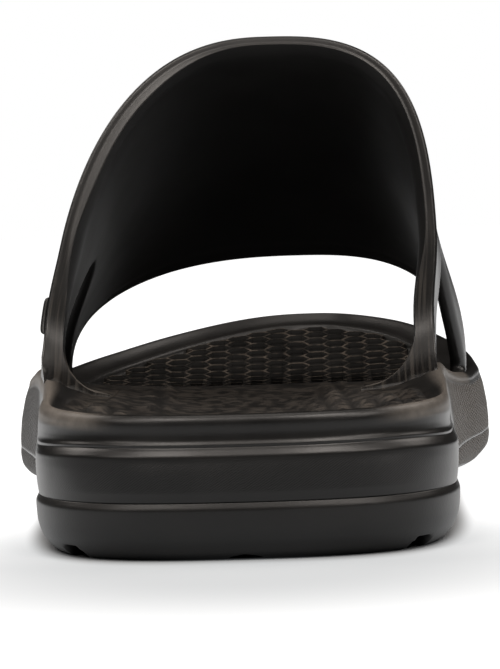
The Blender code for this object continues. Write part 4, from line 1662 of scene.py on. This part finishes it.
    def panel(self, side: Side) -> list[Patch]:
        """Side panel: rings from the window's cut to the panel's border.

        Args:
            side: Side of the shoe.

        Returns:
            Its outer and inner grid.
        """
        along, rise = self.along, self.rise
        border_along = np.concatenate([along, np.ones_like(rise), along[::-1], np.zeros_like(rise)])
        border_up = np.concatenate([np.zeros_like(along), rise, np.ones_like(along), rise[::-1]])
        window = self.medial_window if side is Side.MEDIAL else self.lateral_window
        turn = np.arctan2(border_along - window.along, border_up - window.up)
        window_along, window_up = window.line(turn)
        ring = self.rings[:, None]
        panel_along = window_along + (border_along - window_along) * ring
        across = (window_up + (border_up - window_up) * ring) * self.panel_share
        across = 1 - across if side is Side.MEDIAL else across
        place = self.outer(across, panel_along)
        return self.layers(across, panel_along, np.linalg.norm(place - place[:1], axis=-1), True)

    def cap(self, across: Array, along: Array) -> Patch:
        """Strip between both skins: flat from the outer skin, then a slackening ramp up to the ridge.

        Args:
            across: Shares from the lateral root to the medial root.
            along: Shares from the throat to the toe edge.

        Returns:
            Grid with a row for each place.
        """
        outer, inner, ridge = self.depths(across, along, np.full_like(across, LENGTH))
        climb, level = np.array(self.climb_rows), np.array(self.flat_rows)
        wide = (inner - outer)[:, None]
        rising = np.minimum(self.ridge(across)[1][:, None], wide * self.ridge_most)
        depth = outer[:, None] + np.concatenate([(wide - rising) * level, wide - rising * (1 - climb)], 1)
        ramp = climb * (1 + self.ridge_slack - self.ridge_slack * climb)
        ahead = -ridge[:, None] * np.concatenate([np.zeros_like(level), ramp])
        spread = [np.broadcast_to(share[:, None], depth.shape) for share in (across, along)]
        surface = np.stack(np.broadcast_arrays(across[:, None] * self.mean_length * 2, depth), -1)
        fibre = 1 - self.crown_fibre * self.crown(across)[:, None]
        return Patch(self.place(*spread, depth, ahead), surface, False, {Mark.FIBRE: fibre})

    def build(self, finish: FoamFinish) -> bpy.types.Object:
        """Side panels, the bridge between them, the throat's face and the closed roots, welded to one skin.

        Args:
            finish: Finish of the piece.

        Returns:
            The piece.
        """
        patches = self.panel(Side.LATERAL) + self.panel(Side.MEDIAL)
        bridge = np.linspace(self.panel_share, 1 - self.panel_share, self.bridge_steps)
        along, across = np.meshgrid(self.along, bridge)
        patches += self.layers(across, along, np.full_like(along, LENGTH), False)
        side = np.concatenate([[0.0], self.rise]) * self.panel_share
        throat = np.concatenate([side, bridge, 1 - side[::-1]])
        patches.append(self.cap(throat, np.zeros_like(throat)))
        for root in (0.0, 1.0):
            patches.append(self.cap(np.full_like(self.along, root), self.along))
        return add_piece(mesh_of("vamp_skin", patches), "upper_midsole", finish.material())


@dataclass
class SidePlate:
    """Bare plate on the lateral side of the vamp: a low pillow with rounded edges."""

    vamp: Vamp
    along: Pair = (0.035, 0.125)
    up: Pair = (0.38, 0.55)
    thick: float = 1.0
    gap: float = 0.3
    steps: tuple[int, int] = (40, 30)
    edge_power: float = 9.0

    def build(self, finish: FoamFinish) -> bpy.types.Object:
        """Pillow: the wall's skin lifted by the root of (1 - |u|^p)(1 - |v|^p), with a foot along the wall.

        Args:
            finish: Finish of the piece.

        Returns:
            The piece.
        """
        u, v = np.meshgrid(np.linspace(-1, 1, self.steps[0]), np.linspace(-1, 1, self.steps[1]))
        u, v = np.sin(u * np.pi / 2), np.sin(v * np.pi / 2)
        along = self.along[0] + (self.along[1] - self.along[0]) * (u + 1) / 2
        across = (self.up[0] + (self.up[1] - self.up[0]) * (v + 1) / 2) * self.vamp.panel_share
        depth = self.vamp.depths(across, along, np.full_like(along, LENGTH))[0]
        outer = self.vamp.place(across, along, depth)
        facing = self.vamp.normal(across, along)
        edge = np.clip((1 - np.abs(u) ** self.edge_power) * (1 - np.abs(v) ** self.edge_power), 0, 1)
        lift = self.gap + self.thick * np.sqrt(edge)
        surface = np.stack([u, v], -1)
        top = Patch(outer + facing * lift[..., None], surface)
        foot = Patch((outer + facing * self.gap)[:, ::-1], surface)
        piece = mesh_of("side_plate_skin", [top, foot])
        return add_piece(piece, "side_plate", finish.material())


@dataclass(frozen=True)
class SoftBox:
    """Square studio light aimed at a point."""

    name: str
    place: Place
    aim: Place
    size: float
    power: float

    def build(self, colour: Colour) -> None:
        """Add the lamp, out of the camera's own sight.

        Args:
            colour: Colour of its light.
        """
        lamp = bpy.data.lights.new(self.name, "AREA")
        lamp.shape = "SQUARE"
        lamp.size = self.size
        lamp.energy = self.power
        lamp.color = colour
        holder = link(self.name, lamp)
        holder.location = self.place
        holder.rotation_euler = (Vector(self.aim) - Vector(self.place)).to_track_quat("-Z", "Y").to_euler()
        holder.visible_camera = False


@dataclass(frozen=True)
class Studio:
    """Pale floor with painted shadows, white surround and warm soft boxes: pairs at the sides, behind and in
    front, one above.
    """

    floor_half: float = 1.6
    floor_colour: Colour = (0.24, 0.25, 0.26)
    floor_rough: float = 0.9
    floor_specular: float = 0.1
    # painted shadow: dimmer glow of the floor in an ellipse behind the heel
    painted_shadow_glow: Colour = (0.36, 0.375, 0.385)
    far_glow: Colour = WHITE
    shade_centre: Pair = (0.0, -0.15)
    shade_half: Pair = (0.075, 0.085)
    glow_reach: Pair = (0.3, 1.5)
    # painted contact shadow: the floor's glow goes out under the shoe
    contact_shadow_centre: Pair = (0.0, -0.03)
    contact_shadow_half: Pair = (0.047, 0.118)
    contact_shadow_reach: Pair = (0.90, 1.0)
    contact_shadow_power: float = 4.0
    surround: float = 1.0
    room: float = 0.006
    warm: Colour = (1.0, 0.93, 0.87)
    boxes: tuple[SoftBox, ...] = (
        SoftBox("left_box", (-0.77, -0.65, 0.80), (0.0, -0.10, 0.03), 0.4, 2.5),
        SoftBox("right_box", (0.77, -0.65, 0.80), (0.0, -0.10, 0.03), 0.4, 3.5),
        SoftBox("left_back_box", (-0.41, -0.71, 1.22), (0.0, -0.14, 0.03), 0.4, 8.0),
        SoftBox("right_back_box", (0.41, -0.71, 1.22), (0.0, -0.14, 0.03), 0.4, 8.5),
        SoftBox("left_front_box", (-0.75, 0.30, 0.80), (0.0, -0.10, 0.03), 0.5, 4.0),
        SoftBox("right_front_box", (0.75, 0.30, 0.80), (0.0, -0.10, 0.03), 0.5, 4.0),
        SoftBox("top_box", (0.0, 0.10, 1.3), (0.0, -0.08, 0.0), 0.6, 2.5),
    )

    def away(self, plan: Sequence[Wire], centre: Pair, half: Pair, power: float) -> Wire:
        """Distance from a centre in shares of a superellipse's half sizes.

        Args:
            plan: Places across and along.
            centre: Middle of the superellipse.
            half: Its half sizes.
            power: 2 for an ellipse, more for squarer forms.

        Returns:
            Distance, 1 on the superellipse.
        """
        x, y = ((place - middle) / size for place, middle, size in zip(plan, centre, half))
        return (x ** power + y ** power) ** (1 / power)

    def floor(self) -> None:
        """Pale floor that glows like paper lit from behind, with painted shadows.

        The glow is weaker in a soft ellipse behind the heel, a painted shadow, and goes out under the shoe, a
        painted contact shadow.
        """
        half = self.floor_half
        corners = [(-half, -half, 0), (half, -half, 0), (half, half, 0), (-half, half, 0)]
        mesh = bpy.data.meshes.new("floor")
        mesh.from_pydata(corners, [], [(0, 1, 2, 3)])
        floor = link("floor", mesh)
        material, graph = new_material("floor_paper_painted_shadow")
        plan = graph.split(graph.place())
        # painted shadow behind the heel, then a painted contact shadow under the shoe
        shade = self.away(plan, self.shade_centre, self.shade_half, 2.0)
        under = self.away(plan, self.contact_shadow_centre, self.contact_shadow_half, self.contact_shadow_power)
        paper = graph.mix(shade.between(*self.glow_reach), self.painted_shadow_glow, self.far_glow)
        glow = graph.mix(under.between(*self.contact_shadow_reach), BLACK, paper)
        graph.dress(base_color=self.floor_colour, roughness=self.floor_rough,
                    specular_ior_level=self.floor_specular, emission_color=glow, emission_strength=1.0)
        floor.data.materials.append(material)

    def world(self) -> None:
        """White surround for the camera, and a dim room for light and reflections."""
        world = bpy.data.worlds.new("surround")
        bpy.context.scene.world = world
        graph = Graph(world, "Background")
        seen = graph.node("ShaderNodeLightPath", {}, {}, "Is Camera Ray")
        strength = graph.node("ShaderNodeMapRange", {},
                              {"Value": seen, "To Min": self.room, "To Max": self.surround})
        graph.dress(color=WHITE, strength=strength)

    def build(self) -> None:
        """Floor, surround and lamps, with plain colour management."""
        self.floor()
        self.world()
        for box in self.boxes:
            box.build(self.warm)
        bpy.context.scene.view_settings.view_transform = "Standard"
        LOG.info("studio: %d soft boxes", len(self.boxes))


@dataclass(frozen=True)
class PhotoCamera:
    """Camera of the picture: behind the heel with a long lens, turned, tipped and rolled a little."""

    picture: tuple[int, int] = (500, 669)
    focal_px: float = 4206.0
    back_mm: float = 800.0
    height_mm: float = 91.6
    turn: float = 0.0157
    turn_about_mm: float = 109.0
    axis_px: Pair = (248.0, 81.5)
    roll_deg: float = 1.7
    sensor_mm: float = 36.0
    near_clip: float = 0.01

    def build(self) -> None:
        """Add the camera: its level axis is turned so that the middle of the picture is on its own axis."""
        wide, high = self.picture
        lens = bpy.data.cameras.new("photo_camera")
        lens.sensor_fit = "VERTICAL"
        lens.sensor_height = self.sensor_mm
        lens.lens = self.focal_px / high * self.sensor_mm
        lens.clip_start = self.near_clip
        holder = link("photo_camera", lens)
        place = np.array([self.turn * (self.back_mm + self.turn_about_mm), -self.back_mm, self.height_mm])
        right = (wide / 2 - self.axis_px[0]) / self.focal_px
        down = (high / 2 - self.axis_px[1]) / self.focal_px
        holder.matrix_world = (Matrix.Translation(Vector(to_frame(place)))
                               @ Matrix.Rotation(self.turn - right, 4, "Z")
                               @ Matrix.Rotation(math.pi / 2 - math.atan(down), 4, "X")
                               @ Matrix.Rotation(-math.radians(self.roll_deg), 4, "Z"))
        bpy.context.scene.camera = holder


def main() -> None:
    """Load the frame, build every piece in order, then the studio and the camera."""
    logging.basicConfig(level=logging.INFO, format="%(message)s")
    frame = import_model()
    LOG.info("frame: %d nodes", len(frame["nodes"]))
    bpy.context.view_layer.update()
    outline = Outline(OUTLINE_STEPS)
    bed = Footbed(outline)
    vamp = Vamp(bed)
    Outsole(outline).build(FoamFinish("outsole_foam", roughness=0.40))
    Midsole(outline, bed).build(FoamFinish("foam_skin"))
    insole = Insole(outline, bed)
    insole.base(FoamFinish("footbed_foam", roughness=0.46, dust_and_highlight_share=0.6))
    # darker foam than the footbed's: painted shade in the cells; the dust on the wall tops paints their
    # highlight
    insole.cells(FoamFinish("honeycomb_foam", colour=(0.002, 0.0018, 0.0016), roughness=0.7, specular=0.10,
                            dust_and_highlight_share=0.65))
    # darker foam than the sole's: painted shade for the dark inside of the vamp
    vamp.build(FoamFinish("vamp_foam", colour=(0.0026, 0.0023, 0.0021), worn_colour=(0.0040, 0.0036, 0.0033)))
    SidePlate(vamp).build(FoamFinish("plate_foam"))
    Studio().build()
    PhotoCamera().build()


if __name__ == "__main__":
    main()
